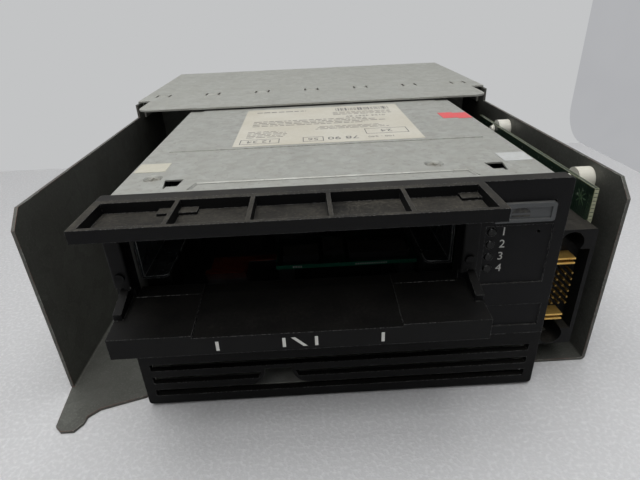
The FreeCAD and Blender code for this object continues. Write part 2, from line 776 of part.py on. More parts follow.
def blade_boxes():
    back = connector_y + cavity_depth + 3.0
    boxes = []
    for pair in (-1, 1):
        for one in (-1, 1):
            z = connector_mid_z + pair * blade_pitch / 2.0 + one * blade_pair_gap / 2.0
            boxes.append(((connector_x - blade_width / 2.0, connector_x + blade_width / 2.0),
                          (connector_y + blade_recess, back), (z - blade_sheet / 2.0, z + blade_sheet / 2.0)))
    return boxes


def pin_boxes():
    back = connector_y + cavity_depth + 3.0
    boxes = []
    for column in range(pin_columns):
        for row in range(pin_rows):
            x = connector_x + (column - (pin_columns - 1) / 2.0) * pin_pitch
            z = connector_mid_z + (row - (pin_rows - 1) / 2.0) * pin_pitch
            boxes.append(((x - pin_side / 2.0, x + pin_side / 2.0), (connector_y + pin_recess, back),
                          (z - pin_side / 2.0, z + pin_side / 2.0)))
    return boxes


def power_blades():
    blades = []
    for box in blade_boxes():
        blade = block(*box)
        front = lambda p: p.y < connector_y + blade_recess + 0.01
        blades.append(blade.makeChamfer(0.25, along(blade, "x", front)))
    return blades


def signal_pins():
    return [block(*box) for box in pin_boxes()]


# ---- drive case ----
def drive_chassis():
    side = case_half
    y = (case_front_y, drive_length - case_sheet)
    top = drive_top - top_sheet
    outer = block((-side, side), y, (drive_bottom, top))
    outer = outer.makeFillet(1.6, along(outer, "y", lambda p: p.z < drive_bottom + 1))
    inner = block((-side + case_sheet, side - case_sheet), (y[0] - 1, y[1] + 1),
                  (drive_bottom + case_sheet, top + 1))
    case = outer.cut(inner)
    bosses, holes = [], []
    for s in (-1, 1):
        for row in (0, 1):
            x, at = s * mount_span_x / 2.0, mount_front_y + row * mount_span_y
            edge = s * (side - case_sheet / 2.0)
            inward = s * (mount_span_x / 2.0 - 5.0)
            bosses.append(block(sorted((inward, edge)), (at - 5, at + 5),
                                (drive_bottom + case_sheet / 2.0, drive_bottom + 6)))
            holes.append(rod("z", (x, at), screw_radius + screw_clearance, drive_bottom - 1,
                             drive_bottom + 5))
    for x, at in circuit_posts():
        bosses.append(rod("z", (x, at), circuit_post_radius, drive_bottom + case_sheet / 2.0, circuit_z))
    return carved(joined([case] + bosses), holes)


def circuit_posts():
    return [(s * (circuit_half - 6), at)
            for s in (-1, 1) for at in (circuit_y[0] + 8, 100.0, circuit_y[1] - 8)]


def drive_mounting_screws():
    screws = []
    for p in mount_points():
        head = rod("z", p, screw_head_radius, drive_lift - screw_head_height, drive_lift)
        shank = rod("z", p, screw_radius, drive_lift, drive_bottom + 4.0)
        screws.append(joined([head, shank]))
    return screws


def drive_top_cover():
    side = drive_width / 2.0
    low = drive_top - top_step
    y = (case_front_y, drive_length)
    plate = block((-side, side), y, (low - top_sheet + top_step, low))
    lips = [block(sorted((s * side, s * (side - top_sheet))), y, (drive_top - top_lip, low)) for s in (-1, 1)]
    field = block((-top_step_half, top_step_half), (top_step_y, drive_length - 6.0), (low - 0.3, drive_top))
    cups = [cone(p, (dimple_radius, dimple_radius + 1.0), (low - dimple_depth - 0.8, low - 0.2))
            for p in dimple_places]
    cover = joined([plate, field] + lips + cups)
    cover = cover.makeFillet(0.6, along(cover, "y", lambda p: abs(p.x) > side - 0.01 and p.z > low - 0.01))
    tools = []
    top_of = lambda p: drive_top if p[1] > top_step_y and abs(p[0]) < top_step_half else low
    for p in dimple_places:
        deck = top_of(p)
        tools.append(cone(p, (dimple_radius - 0.8, dimple_radius + 0.1), (low - dimple_depth, deck + 0.01)))
        tools.append(rod("z", p, screw_radius + screw_clearance, low - 4, deck + 1))
    half, (near, far) = top_recess_half, top_recess_y
    tools.append(outline("z", [(-half - 2, near), (half + 2, near), (half, far), (-half, far)],
                         low - top_recess_depth + top_step / 2.0, low + 1))
    for x, at in window_places:
        a, b = window_width / 2.0, window_length / 2.0
        tools.append(outline("z", [(x - a + 1.2, at - b), (x + a - 1.2, at - b), (x + a, at + b),
                                   (x - a, at + b)], low - 3, drive_top + 1))
    return carved(cover, tools)


def top_cover_screws():
    screws = []
    for p in dimple_places:
        low = drive_top - top_step - dimple_depth
        head = rod("z", p, dimple_radius - 0.9, low, low + 0.7)
        shank = rod("z", p, screw_radius, low - 3.0, low)
        cross = block((p[0] - 1.6, p[0] + 1.6), (p[1] - 0.3, p[1] + 0.3), (low + 0.3, low + 1))
        cross = joined([cross, cross.copy().rotate(V(p[0], p[1], low), V(0, 0, 1), 90)])
        screws.append(joined([head, shank]).cut(cross))
    return screws


def drive_rear_plate():
    side = case_half
    plate = block((-side, side), (drive_length - case_sheet, drive_length),
                  (drive_bottom, drive_top - top_sheet))
    through = (drive_length - case_sheet - 1, drive_length + 1)
    return carved(plate, [block((x - a - 0.3, x + a + 0.3), through, (z - b - 0.3, z + b + 0.3))
                          for x, z, a, b, reach in rear_ports()])


def rear_ports():
    """Connectors in the drive's rear plate: x, z, half width, half height, reach."""
    return [(-20.0, circuit_z + 9.0, 34.0, 5.0, 9.0), (45.0, circuit_z + 9.0, 11.0, 6.0, 7.0)]


def drive_rear_connectors():
    ports = []
    for x, z, a, b, reach in rear_ports():
        body = block((x - a, x + a), (drive_length - 10.0, drive_length + reach), (z - b, z + b))
        foot = block((x - a + 2, x + a - 2), (drive_length - 22.0, drive_length - 10.0),
                     (circuit_z + board_sheet, z + b - 1))
        hollow = block((x - a + 1.5, x + a - 1.5), (drive_length - 2.0, drive_length + reach + 1),
                       (z - b + 1.5, z + b - 1.5))
        ports.append(joined([body, foot]).cut(hollow))
    return ports


# ---- bezel and funnel ----
def bezel():
    half = bezel_width / 2.0
    body = block((-half, half), (0, bezel_depth), (vent_top, bezel_top))
    body = body.makeFillet(bezel_corner, along(body, "y", lambda p: p.z > bezel_top - 1))
    slot_x = (slot_mid_x - slot_width / 2.0, slot_mid_x + slot_width / 2.0)
    pocket = block((-half + bezel_rim, half - bezel_rim), (bezel_skin, bezel_depth + 1),
                   (vent_top + bezel_rim, bezel_top - bezel_rim))
    frame = block((slot_x[0] - bezel_rim, slot_x[1] + bezel_rim), (0, bezel_depth),
                  (slot_bottom - bezel_rim, slot_top + bezel_rim))
    tools = [pocket.cut(frame), block(slot_x, (-1, bezel_depth + 1), (slot_bottom, slot_top))]
    for x0, x1, z0, z1 in (lamp_field, badge_field):
        tools.append(block((x0, x1), (-1, field_depth), (z0, z1)))
    x0, x1, z0, z1 = button_field
    tools.append(block((x0, x1), (-1, bezel_depth + 1), (z0, z1)))
    tools += [rod("y", (led_x, z), led_radius + led_clearance, -1, bezel_depth) for z in led_z]
    x, z, r = pinhole
    tools.append(rod("y", (x, z), r, -1, bezel_depth))
    return carved(body, tools)


def notch_edge(side, grow):
    """Points down one flank of the finger notch, from its top to the lowest vent row."""
    top = vent_first_z + vent_pitch + vent_height + notch_bar
    foot = vent_first_z + vent_height
    points = []
    for k in range(6):
        t = k / 5.0
        wide = notch_top_half + (notch_flare_half - notch_top_half) * (1 - math.cos(t * math.pi / 2))
        points.append((notch_mid_x + side * (wide + grow), top - (top - foot) * math.sin(t * math.pi / 2)))
    return points


def vent_panel():
    half = bezel_width / 2.0
    top = vent_top - panel_seam
    body = block((-half, half), (0, bezel_depth), (bezel_bottom, top))
    body = body.makeFillet(bezel_corner, along(body, "y", lambda p: p.z < bezel_bottom + 1))
    pocket = block((-half + bezel_rim, half - bezel_rim), (bezel_skin, bezel_depth + 1),
                   (bezel_bottom + bezel_rim, top - bezel_rim))
    through = (-1, bezel_depth)
    rows = []
    for k in range(3):
        z = vent_first_z + k * vent_pitch
        rows.append(block((-vent_half, vent_half), through, (z, z + vent_height)))
    rows[1] = rows[1].cut(outline("y", notch_edge(-1, notch_bar) + notch_edge(1, notch_bar)[::-1], *through))
    notch = outline("y", notch_edge(-1, 0.0) + notch_edge(1, 0.0)[::-1], *through)
    return carved(body, [pocket] + rows + [notch])


def funnel_lip():
    x = (slot_mid_x - funnel_half, slot_mid_x + funnel_half)
    front = -funnel_reach
    low = bezel_top - lip_front_height
    under = [(front, low), (-1.5, slot_top), (0, slot_top)]
    body = outline("x", [(front, bezel_top)] + under + [(0, bezel_top)], *x)
    fall = (low - slot_top) / (funnel_reach - 1.5)
    walls = [x[0] + lip_end_wall]
    for k in range(lip_ribs):
        middle = slot_mid_x + (k - (lip_ribs - 1) / 2.0) * lip_rib_pitch
        walls += [middle - lip_rib / 2.0, middle + lip_rib / 2.0]
    walls.append(x[1] - lip_end_wall)
    near, far = front + lip_front_wall, -lip_back_wall
    floor = bezel_top - cell_depth
    cell = [(near, bezel_top + 1), (near, floor), (far, floor), (far, bezel_top + 1)]
    tools = [outline("x", cell, walls[k], walls[k + 1]) for k in range(0, len(walls), 2)]
    # cores open to the rear keep the wedge under the cells one skin thick
    ceiling = floor - lip_floor
    start = front + (low + lip_floor - ceiling) / fall
    core = [(start, ceiling), (1, ceiling), (1, slot_top + lip_floor), (-1.5, slot_top + lip_floor)]
    tools += [outline("x", core, walls[k], walls[k + 1]) for k in range(0, len(walls), 2)]
    lip = carved(body, tools)
    pads = []
    for at, wide in ((1, 12.0), (-1, 6.0)):
        middle = (walls[at * 2] + walls[at * 2 - 1]) / 2.0 if at > 0 else walls[-1] - wide / 2.0
        pads.append(block((middle - wide / 2.0, middle + wide / 2.0), (far - 4.0, far + 0.5),
                          (floor - 0.4, floor + 0.9)))
    return joined([lip] + pads)


def funnel_ramp():
    x = (slot_mid_x - funnel_half + 1.4, slot_mid_x + funnel_half)
    front = -funnel_reach
    body = outline("x", [(front, ramp_front_bottom), (front, ramp_front_top), (0, ramp_back_top),
                         (0, ramp_back_bottom), (front + ramp_wall, ramp_front_bottom)], *x)
    tongue = block((slot_mid_x - slot_width / 2.0 + 0.3, slot_mid_x + slot_width / 2.0 - 0.3),
                   (-1, ramp_tongue), (slot_bottom + 0.2, ramp_back_top))
    fin = [(-rail_length, ramp_front_top), (-rail_length, ramp_front_top + rail_nose),
           (-ramp_wall, rail_top), (0, rail_top), (0, ramp_front_top)]
    rails = [outline("x", fin, a, a + rail_width) for a in (x[0], x[1] - rail_width)]
    body = joined([body, tongue] + rails)
    rise = (ramp_back_top - ramp_front_top) / funnel_reach
    near, far = front + ramp_wall, -ramp_wall
    under = lambda y: ramp_front_top + (y - front) * rise - ramp_wall
    bay = [(near, ramp_front_bottom - 1), (near, under(near)), (far, under(far)),
           (far, ramp_front_bottom - 1)]
    step = (x[1] - x[0] - ramp_wall) / (ramp_ribs + 1.0)
    tools = [outline("x", bay, x[0] + ramp_wall + k * step, x[0] + (k + 1) * step)
             for k in range(ramp_ribs + 1)]
    middle = [(front - 1, ramp_front_top - ramp_middle_depth), (front - 1, rail_top),
              (ramp_tongue + 1, rail_top), (ramp_tongue + 1, ramp_back_top - ramp_middle_depth / 2.0),
              (0, ramp_back_top - ramp_middle_depth / 2.0)]
    tools.append(outline("x", middle, slot_mid_x - ramp_middle_half, slot_mid_x + ramp_middle_half))
    return carved(body, tools)


def funnel_post(side):
    outer = slot_mid_x + side * funnel_half
    inner = outer - side * post_width
    post = block(sorted((outer, inner)), (-post_depth, 0), (post_bottom, slot_top))
    post = post.makeFillet(0.8, along(post, "z", lambda p: p.y < -post_depth + 0.1))
    foot = block(sorted((inner, inner + side * post_foot_width)), (-post_depth, 0), (rail_top, post_bottom))
    return carved(joined([post, foot]), [rod("y", post_screw(side), screw_radius - 0.3, -post_depth - 1, 1)])


def post_screw(side):
    return (slot_mid_x + side * (funnel_half - post_width / 2.0), post_bottom + 4.0)


def funnel_screws():
    screws = []
    for side in (-1, 1):
        p = post_screw(side)
        head = rod("y", p, funnel_screw_head, -post_depth - 0.9, -post_depth)
        screws.append(joined([head, rod("y", p, screw_radius - 0.35, -post_depth, 0)]))
    return screws


def eject_button():
    x0, x1, z0, z1 = button_field
    c = button_clearance
    face = -button_proud
    body = block((x0 + c, x1 - c), (face, bezel_depth), (z0 + c, z1 - c))
    body = body.makeFillet(1.0, along(body, "y", lambda p: p.x > x1 - 1))
    recess = block((x0 + 1.4, x1 - 1.6), (face - 1, face + 0.6), (z0 + 1.3, z1 - 1.7))
    middle = ((x0 + x1) / 2.0, (z0 + z1) / 2.0)
    stem = rod("y", middle, 1.6, bezel_skin, switch_y() - switch_gap)
    flange = block((x0 - 0.6, x1 + 0.4), (bezel_skin + 0.2, bezel_skin + 0.9), (z0 - 0.6, z1 + 0.6))
    return joined([body, flange, stem]).cut(recess)


def switch_y():
    return bezel_depth + 4.0


def eject_switch():
    x0, x1, z0, z1 = button_field
    x, z = (x0 + x1) / 2.0, (z0 + z1) / 2.0
    body = block((x - 3, x + 3), (switch_y() + 0.8, switch_y() + 3.4), (z - 3, z + 3))
    return joined([body, rod("y", (x, z), 1.7, switch_y(), switch_y() + 0.8)])


def front_board():
    y = switch_y() + 3.4
    return block((slot_mid_x + carriage_half + 1.5, case_half - case_sheet), (y, y + board_sheet),
                 (lamp_field[2] - 2, button_field[3] + 2))


def status_lights():
    y = switch_y() + 3.4
    lights = []
    for z in led_z:
        pipe = rod("y", (led_x, z), led_radius, field_depth - 0.4, y)
        ends = [e for e in pipe.Edges if isinstance(e.Curve, Part.Circle) and e.CenterOfMass.y < 1]
        lights.append(pipe.makeChamfer(0.3, ends))
    return lights


# ---- mechanism ----
def deck_plate():
    side = deck_half
    plate = block((-side, side), (deck_front, deck_rear), (deck_bottom, deck_top))
    rails = []
    for s in (-1, 1):
        edge = slot_mid_x + s * (carriage_half - 0.5)
        x = sorted((edge, edge - s * rail_bar_width))
        rails.append(block(x, (deck_front, carriage_front + carriage_length + carriage_travel),
                           (deck_top, rail_bar_top)))
    shelf = [block((a - 3, a + 3), (22.0, 40.0), (deck_top, sensor_board_z())) for a in (-19.0, 28.0)]
    deck = joined([plate] + rails + shelf)
    tools = [rod("z", (slot_mid_x, chuck_y), chuck_hole_radius, deck_bottom - 1, deck_top + 1),
             rod("z", (takeup_x, takeup_y), 8.0, deck_bottom - 1, deck_top + 1),
             rod("z", (motor_x, motor_y), axle_radius + 0.6, deck_bottom - 1, deck_top + 1)]
    tools += [rod("z", p, axle_radius + screw_clearance, deck_bottom - 1, deck_top + 1)
              for p in pin_places() + head_shaft_places()]
    return carved(deck, tools)


def sensor_board_z():
    return rail_bar_top - 5.0


def sensor_board():
    return block((-22.6, 31.8), (21.2, 44.0), (sensor_board_z(), sensor_board_z() + board_sheet))


def flex_strip():
    """Flat flex lead: runs from under the sensor board along the deck and up to a folded end."""
    wide = (-51.0, -35.5)
    lead = block((wide[0], -12.0), (40.0, 44.0), (deck_top, deck_top + 0.4))
    foot = block(wide, (27.0, 44.0), (deck_top, deck_top + 0.4))
    rise = block(wide, (26.6, 27.0), (deck_top, flex_top))
    fold = block(wide, (23.6, 27.0), (flex_top - 0.4, flex_top))
    tail = block((-12.4, -12.0), (40.0, 44.0), (deck_top, sensor_board_z()))
    return joined([lead, foot, rise, fold, tail])


def pin_places():
    return list(roller_places) + [(pinion_x, pinion_y)]


def head_shaft_places():
    return [(head_x, head_y + s * head_shaft_pitch / 2.0) for s in (-1, 1)]


def axle_pins():
    tops = [takeup_bottom + tape_width + 6.0] * len(roller_places) + [pinion_z + pinion_height + 2.0]
    pins = [rod("z", p, axle_radius, deck_bottom, top) for p, top in zip(pin_places(), tops)]
    caps = [rod("z", p, axle_radius + 1.0, top, top + 0.8) for p, top in zip(pin_places(), tops)]
    return [joined([pin, cap]) for pin, cap in zip(pins, caps)]


def loader_carriage():
    left, right = slot_mid_x - carriage_half, slot_mid_x + carriage_half
    y = (carriage_front, carriage_front + carriage_length)
    walls = [block((left, left + carriage_sheet), y, (carriage_bottom, carriage_top)),
             block((right - carriage_sheet, right), y, (carriage_bottom, carriage_top))]
    low = (carriage_bottom, carriage_bottom + carriage_sheet)
    ledges = [block((left, left + carriage_ledge), y, low), block((right - carriage_ledge, right), y, low)]
    inner_corner = lambda p: p.y < y[0] + 1 and left + 5 < p.x < right - 5
    ledges = [ledge.makeFillet(2.5, along(ledge, "z", inner_corner)) for ledge in ledges]
    bridge = block((left, right), (y[1] - bridge_length, y[1]), (carriage_top - carriage_sheet, carriage_top))
    stop = block((left + carriage_sheet, left + carriage_ledge), (y[1] - carriage_sheet, y[1]),
                 (carriage_bottom, carriage_top))
    bar = block((right, rack_line_x - 1.25 * rack_module), (pinion_y - 24.0, y[1]),
                (pinion_z, pinion_z + pinion_height))
    return joined(walls + ledges + [bridge, stop, bar] + rack_teeth())


def rack_teeth():
    pitch = math.pi * rack_module
    slope = math.tan(math.radians(20))
    half = pitch / 4.0 - backlash / 2.0
    deep, tall = 1.25 * rack_module, 0.95 * rack_module
    foot = rack_line_x - deep - 0.2
    teeth = []
    first = pinion_y + pitch / 2.0
    for k in range(-7, 4):
        y = first + k * pitch
        points = [(foot, y - half - deep * slope), (rack_line_x + tall, y - half + tall * slope),
                  (rack_line_x + tall, y + half - tall * slope), (foot, y + half + deep * slope)]
        teeth.append(outline("z", points, pinion_z, pinion_z + pinion_height))
    return teeth


def loader_gear():
    centre = (pinion_x, pinion_y)
    wheel = gear(gear_module, gear_teeth, centre, (gear_z, gear_z + gear_height), motor_angle)
    pinion = gear(rack_module, pinion_teeth, centre, (pinion_z, pinion_z + pinion_height), 180.0)
    sleeve = rod("z", centre, 4.0, deck_top + 0.3, pinion_z)
    bore = rod("z", centre, axle_radius + running_gap, deck_top - 1, pinion_z + pinion_height + 1)
    return joined([wheel, sleeve, pinion]).cut(bore)


def loader_motor():
    p = (motor_x, motor_y)
    body = rod("z", p, motor_radius, deck_bottom - motor_length, deck_bottom)
    return body.cut(rod("z", p, axle_radius + running_gap, deck_bottom - motor_length + 2, deck_bottom + 1))


def loader_motor_gear():
    p = (motor_x, motor_y)
    phase = motor_angle + 180.0 + 180.0 / motor_teeth
    wheel = gear(gear_module, motor_teeth, p, (gear_z, gear_z + gear_height), phase)
    return joined([wheel, rod("z", p, axle_radius, deck_bottom - motor_length + 4, gear_z + gear_height + 2)])


def reel_motor(centre):
    body = rod("z", centre, reel_motor_radius, deck_bottom - reel_motor_height, deck_bottom)
    body = body.makeChamfer(1.0, [e for e in body.Edges if isinstance(e.Curve, Part.Circle) and
                                  e.CenterOfMass.z < deck_bottom - 1])
    bore = rod("z", centre, 4.0 + running_gap, deck_bottom - reel_motor_height + 2, deck_bottom + 1)
    return body.cut(bore)


def drive_chuck():
    centre = (slot_mid_x, chuck_y)
    shaft = rod("z", centre, 4.0, deck_bottom - reel_motor_height + 3, deck_top)
    plate = rod("z", centre, chuck_radius, deck_top + 1.0, chuck_top - 3.0)
    neck = rod("z", centre, 6.0, deck_top - 1, deck_top + 1.5)
    ring = rod("z", centre, chuck_radius, chuck_top - 3.0, chuck_top)
    ring = ring.cut(rod("z", centre, chuck_radius - 3.0, chuck_top - 3.5, chuck_top + 1))
    gaps = []
    for k in range(chuck_teeth):
        gap = block((centre[0] + chuck_radius - 4, centre[0] + chuck_radius + 1),
                    (centre[1] - 1.0, centre[1] + 1.0), (chuck_top - 2.0, chuck_top + 1))
        gaps.append(gap.rotate(V(centre[0], centre[1], 0), V(0, 0, 1), 360.0 * k / chuck_teeth))
    return joined([shaft, neck, plate, ring.cut(gaps)])


def takeup_reel():
    centre = (takeup_x, takeup_y)
    low, high = takeup_bottom, takeup_bottom + tape_width + 2 * takeup_flange + 0.6
    flanges = [rod("z", centre, takeup_radius, low, low + takeup_flange),
               rod("z", centre, takeup_radius, high - takeup_flange, high)]
    hub = rod("z", centre, takeup_hub_radius, low, high)
    shaft = rod("z", centre, 4.0, deck_bottom - reel_motor_height + 3, low + 1)
    windows = []
    for k in range(6):
        window = rod("z", (centre[0] + 13.5, centre[1]), 4.0, low - 1, high + 1)
        windows.append(window.rotate(V(centre[0], centre[1], 0), V(0, 0, 1), 60.0 * k))
    return carved(joined(flanges + [hub, shaft]), windows)


def guide_roller(place):
    low, high = takeup_bottom, takeup_bottom + tape_width + 4.0
    barrel = rod("z", place, roller_radius, low, high)
    flanges = [rod("z", place, roller_flange_radius, low, low + 1.6),
               rod("z", place, roller_flange_radius, high - 1.6, high)]
    foot = rod("z", place, 3.0, deck_top + 0.3, low)
    bore = rod("z", place, axle_radius + running_gap, deck_top - 1, high + 1)
    return joined([barrel, foot] + flanges).cut(bore)


def head_shafts():
    top = takeup_bottom + head_height + 10.0
    shafts = [rod("z", p, axle_radius, deck_bottom, top) for p in head_shaft_places()]
    x, y = head_x, head_y
    cap = block((x - 3, x + 3), (y - head_shaft_pitch / 2.0 - 3, y + head_shaft_pitch / 2.0 + 3),
                (top, top + 2.0))
    return joined(shafts + [cap])


def head_carriage():
    x = (head_x - head_width / 2.0 + 2, head_x + head_width / 2.0)
    y = (head_y - head_depth / 2.0, head_y + head_depth / 2.0)
    z = (takeup_bottom + head_travel - 2.0, takeup_bottom + head_travel - 2.0 + head_height)
    body = block(x, y, z)
    body = body.makeFillet(1.5, along(body, "z"))
    return carved(body, [rod("z", p, axle_radius + running_gap, z[0] - 1, z[1] + 1)
                         for p in head_shaft_places()])


def tape_head():
    face = head_x - head_width / 2.0 + 2
    z = takeup_bottom + head_travel - 1.0
    head = block((face - 3.0, face), (head_y - 5, head_y + 5), (z, z + tape_width))
    return head.makeFillet(1.4, along(head, "z", lambda p: p.x < face - 1))


def main_board():
    plate = block((-circuit_half, circuit_half), circuit_y, (circuit_z, circuit_z + board_sheet))
    return plate


def main_board_chips():
    top = circuit_z + board_sheet
    sizes = [(-40.0, 60.0, 28.0, 28.0, 2.4), (10.0, 50.0, 22.0, 14.0, 1.6), (10.0, 80.0, 14.0, 22.0, 1.6),
             (-44.0, 120.0, 24.0, 24.0, 2.0), (36.0, 60.0, 12.0, 12.0, 5.0), (36.0, 90.0, 10.0, 10.0, 9.0)]
    return [block((x, x + wide), (y, y + long), (top, top + tall)) for x, y, wide, long, tall in sizes]


# ---- paper ----
def rating_label():
    return block((-39.5, 41.5), (57.0, 128.0), (drive_top, drive_top + 0.1))


def stickers():
    low = drive_top - top_step
    left = block((-72.0, -60.4), (30.5, 40.5), (low, low + 0.1))
    right = block((61.6, 72.0), (23.5, 33.0), (low, low + 0.1))
    y = (89.6, 101.2)
    mark = joined([block((58.0, top_step_half + 0.1), y, (drive_top, drive_top + 0.1)),
                   block((top_step_half, top_step_half + 0.1), y, (low, drive_top + 0.1)),
                   block((top_step_half, 72.2), y, (low, low + 0.1))])
    return [left, right, mark]


os.makedirs("parts", exist_ok=True)

save("sled_tray", sled_tray())
save("rear_cover", rear_cover())
save("rear_panel", rear_panel())
save("bulkhead_left", bulkhead_left())
save("bulkhead_right", bulkhead_right())
save("case_screws", case_screws())
save("fan_frame", fan_frame())
save("fan_rotor", fan_rotor())
save("panel_screws", panel_screws())
save("pull_handle", pull_handle())
save("thumbscrew_left", thumbscrew(-1))
save("thumbscrew_right", thumbscrew(1))
save("thumbscrew_ferrules", thumbscrew_ferrules())
save("data_connectors", data_connectors())
save("jack_screws", jack_screws())
save("interface_board", interface_board())
save("board_standoffs", board_standoffs())
save("board_chips", board_chips())
save("blind_mate_housing", blind_mate_housing())
save("power_blades", power_blades())
save("signal_pins", signal_pins())
save("drive_mounting_screws", drive_mounting_screws())

drive_pieces = {
    "drive_chassis": drive_chassis(),
    "drive_top_cover": drive_top_cover(),
    "top_cover_screws": top_cover_screws(),
    "drive_rear_plate": drive_rear_plate(),
    "drive_rear_connectors": drive_rear_connectors(),
    "bezel": bezel(),
    "vent_panel": vent_panel(),
    "funnel_lip": funnel_lip(),
    "funnel_ramp": funnel_ramp(),
    "funnel_posts": [funnel_post(-1), funnel_post(1)],
    "funnel_screws": funnel_screws(),
    "eject_button": eject_button(),
    "eject_switch": eject_switch(),
    "front_board": front_board(),
    "status_lights": status_lights(),
    "deck_plate": deck_plate(),
    "sensor_board": sensor_board(),
    "flex_strip": flex_strip(),
    "axle_pins": axle_pins(),
    "loader_carriage": loader_carriage(),
    "loader_gear": loader_gear(),
    "loader_motor": loader_motor(),
    "loader_motor_gear": loader_motor_gear(),
    "reel_motors": [reel_motor((slot_mid_x, chuck_y)), reel_motor((takeup_x, takeup_y))],
    "drive_chuck": drive_chuck(),
    "takeup_reel": takeup_reel(),
    "head_shafts": head_shafts(),
    "head_carriage": head_carriage(),
    "tape_head": tape_head(),
    "main_board": main_board(),
    "main_board_chips": main_board_chips(),
    "rating_label": rating_label(),
    "stickers": stickers(),
}
for number, place in enumerate(roller_places, 1):
    drive_pieces["guide_roller_%d" % number] = guide_roller(place)
for name, shape in drive_pieces.items():
    save(name, [in_sled(one) for one in (shape if isinstance(shape, list) else [shape])])
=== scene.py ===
import bpy
import math
import random
from mathutils import Matrix, Vector


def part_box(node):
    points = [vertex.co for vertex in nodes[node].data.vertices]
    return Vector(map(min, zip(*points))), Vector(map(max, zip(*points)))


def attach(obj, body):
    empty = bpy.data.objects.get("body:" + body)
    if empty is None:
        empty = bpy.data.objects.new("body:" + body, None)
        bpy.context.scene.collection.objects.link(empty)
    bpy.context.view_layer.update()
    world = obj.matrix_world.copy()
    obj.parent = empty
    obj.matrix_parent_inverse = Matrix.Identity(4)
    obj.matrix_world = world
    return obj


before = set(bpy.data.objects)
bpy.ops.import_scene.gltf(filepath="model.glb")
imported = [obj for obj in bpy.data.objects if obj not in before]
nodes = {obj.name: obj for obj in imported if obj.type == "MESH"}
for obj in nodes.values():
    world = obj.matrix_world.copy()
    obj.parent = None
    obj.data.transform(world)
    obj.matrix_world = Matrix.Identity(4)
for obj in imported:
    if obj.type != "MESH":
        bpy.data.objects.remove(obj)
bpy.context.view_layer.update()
mm = 0.001
perMetre = 1000.0  # a pattern of n mm has the scale perMetre / n


# camera: place and lens in mm, turns in degrees
camera = {"place": (-4.48, -277.37, 138.31), "lens": 25.97, "sensor": 36.0,
          "yaw": -1.054, "pitch": -27.53, "roll": 2.555}


def aimCamera(look):
    yaw, pitch, roll = (math.radians(look[k]) for k in ("yaw", "pitch", "roll"))
    turn = Matrix.Rotation(yaw, 3, "Z") @ Matrix.Rotation(pitch, 3, "X") @ Matrix.Rotation(roll, 3, "Y")
    lens = bpy.data.cameras.new("camera")
    lens.lens, lens.sensor_width, lens.clip_start = look["lens"], look["sensor"], 0.01
    rig = bpy.data.objects.new("camera", lens)
    right, ahead, up = turn.col[0], turn.col[1], turn.col[2]
    facing = Matrix((right, up, -ahead)).transposed().to_4x4()
    rig.matrix_world = Matrix.Translation(Vector(look["place"]) * mm) @ facing
    bpy.context.scene.collection.objects.link(rig)
    bpy.context.scene.camera = rig


aimCamera(camera)
print("camera aimed")


def hexColour(text):
    # sRGB hex to linear red, green, blue and alpha
    parts = [int(text[i:i + 2], 16) / 255 for i in (1, 3, 5)]
    return [c / 12.92 if c <= 0.04045 else ((c + 0.055) / 1.055) ** 2.4 for c in parts] + [1.0]


def addNode(tree, kind, inputs=None, **settings):
    # each input is linked when it is given a socket, and set otherwise; a text is a hex colour
    node = tree.nodes.new(kind)
    for name, value in settings.items():
        setattr(node, name, value)
    for key, value in (inputs or {}).items():
        if isinstance(value, bpy.types.NodeSocket):
            tree.links.new(value, node.inputs[key])
        else:
            node.inputs[key].default_value = hexColour(value) if isinstance(value, str) else value
    return node


def startMaterial(name, metallic=0.0, roughness=0.5, ior=None, coat=0.0):
    material = bpy.data.materials.new(name)
    material.use_nodes = True
    tree = material.node_tree
    shader = tree.nodes["Principled BSDF"]
    shader.inputs["Metallic"].default_value = metallic
    shader.inputs["Roughness"].default_value = roughness
    shader.inputs["Coat Weight"].default_value = coat
    if ior:
        shader.inputs["IOR"].default_value = ior
    place = addNode(tree, "ShaderNodeTexCoord").outputs["Object"]
    return material, tree, shader, place


def patches(tree, place, size, low=0.4, high=0.6, detail=4.0, stretch=None):
    # soft blotches, size in mm; low and high set how sharply they start
    if stretch:
        place = addNode(tree, "ShaderNodeVectorMath", {0: place, 1: stretch}, operation="MULTIPLY").outputs[0]
    cloud = addNode(tree, "ShaderNodeTexNoise", {"Vector": place, "Scale": perMetre / size, "Detail": detail})
    return addNode(tree, "ShaderNodeMapRange", {"Value": cloud.outputs["Fac"], "From Min": low,
                                                "From Max": high}).outputs["Result"]


def layered(tree, colour, layers):
    # colours laid over one another: each layer is (where it lies, how much of it at most, its colour)
    for where, most, over in layers:
        amount = addNode(tree, "ShaderNodeMapRange", {"Value": where, "To Max": most}).outputs["Result"]
        colour = addNode(tree, "ShaderNodeMix", {0: amount, 6: colour, 7: over}, data_type="RGBA").outputs[2]
    return colour


def edges(tree, size, sharp=0.35):
    # 0 on the flats and 1 along edges, within about size mm
    soft = addNode(tree, "ShaderNodeBevel", {"Radius": size * mm}, samples=4).outputs[0]
    flat = addNode(tree, "ShaderNodeNewGeometry").outputs["Normal"]
    along = addNode(tree, "ShaderNodeVectorMath", {0: soft, 1: flat}, operation="DOT_PRODUCT")
    return addNode(tree, "ShaderNodeMapRange", {
        "Value": along.outputs["Value"], "From Min": 1.0 - sharp * 0.05, "From Max": 1.0 - sharp}).outputs[0]


def upward(tree, start=0.55, full=0.95):
    # 0 on walls and 1 on level tops, where dust settles
    facing = addNode(tree, "ShaderNodeNewGeometry").outputs["Normal"]
    height = addNode(tree, "ShaderNodeSeparateXYZ", {0: facing}).outputs["Z"]
    return addNode(tree, "ShaderNodeMapRange", {"Value": height, "From Min": start,
                                                "From Max": full}).outputs["Result"]


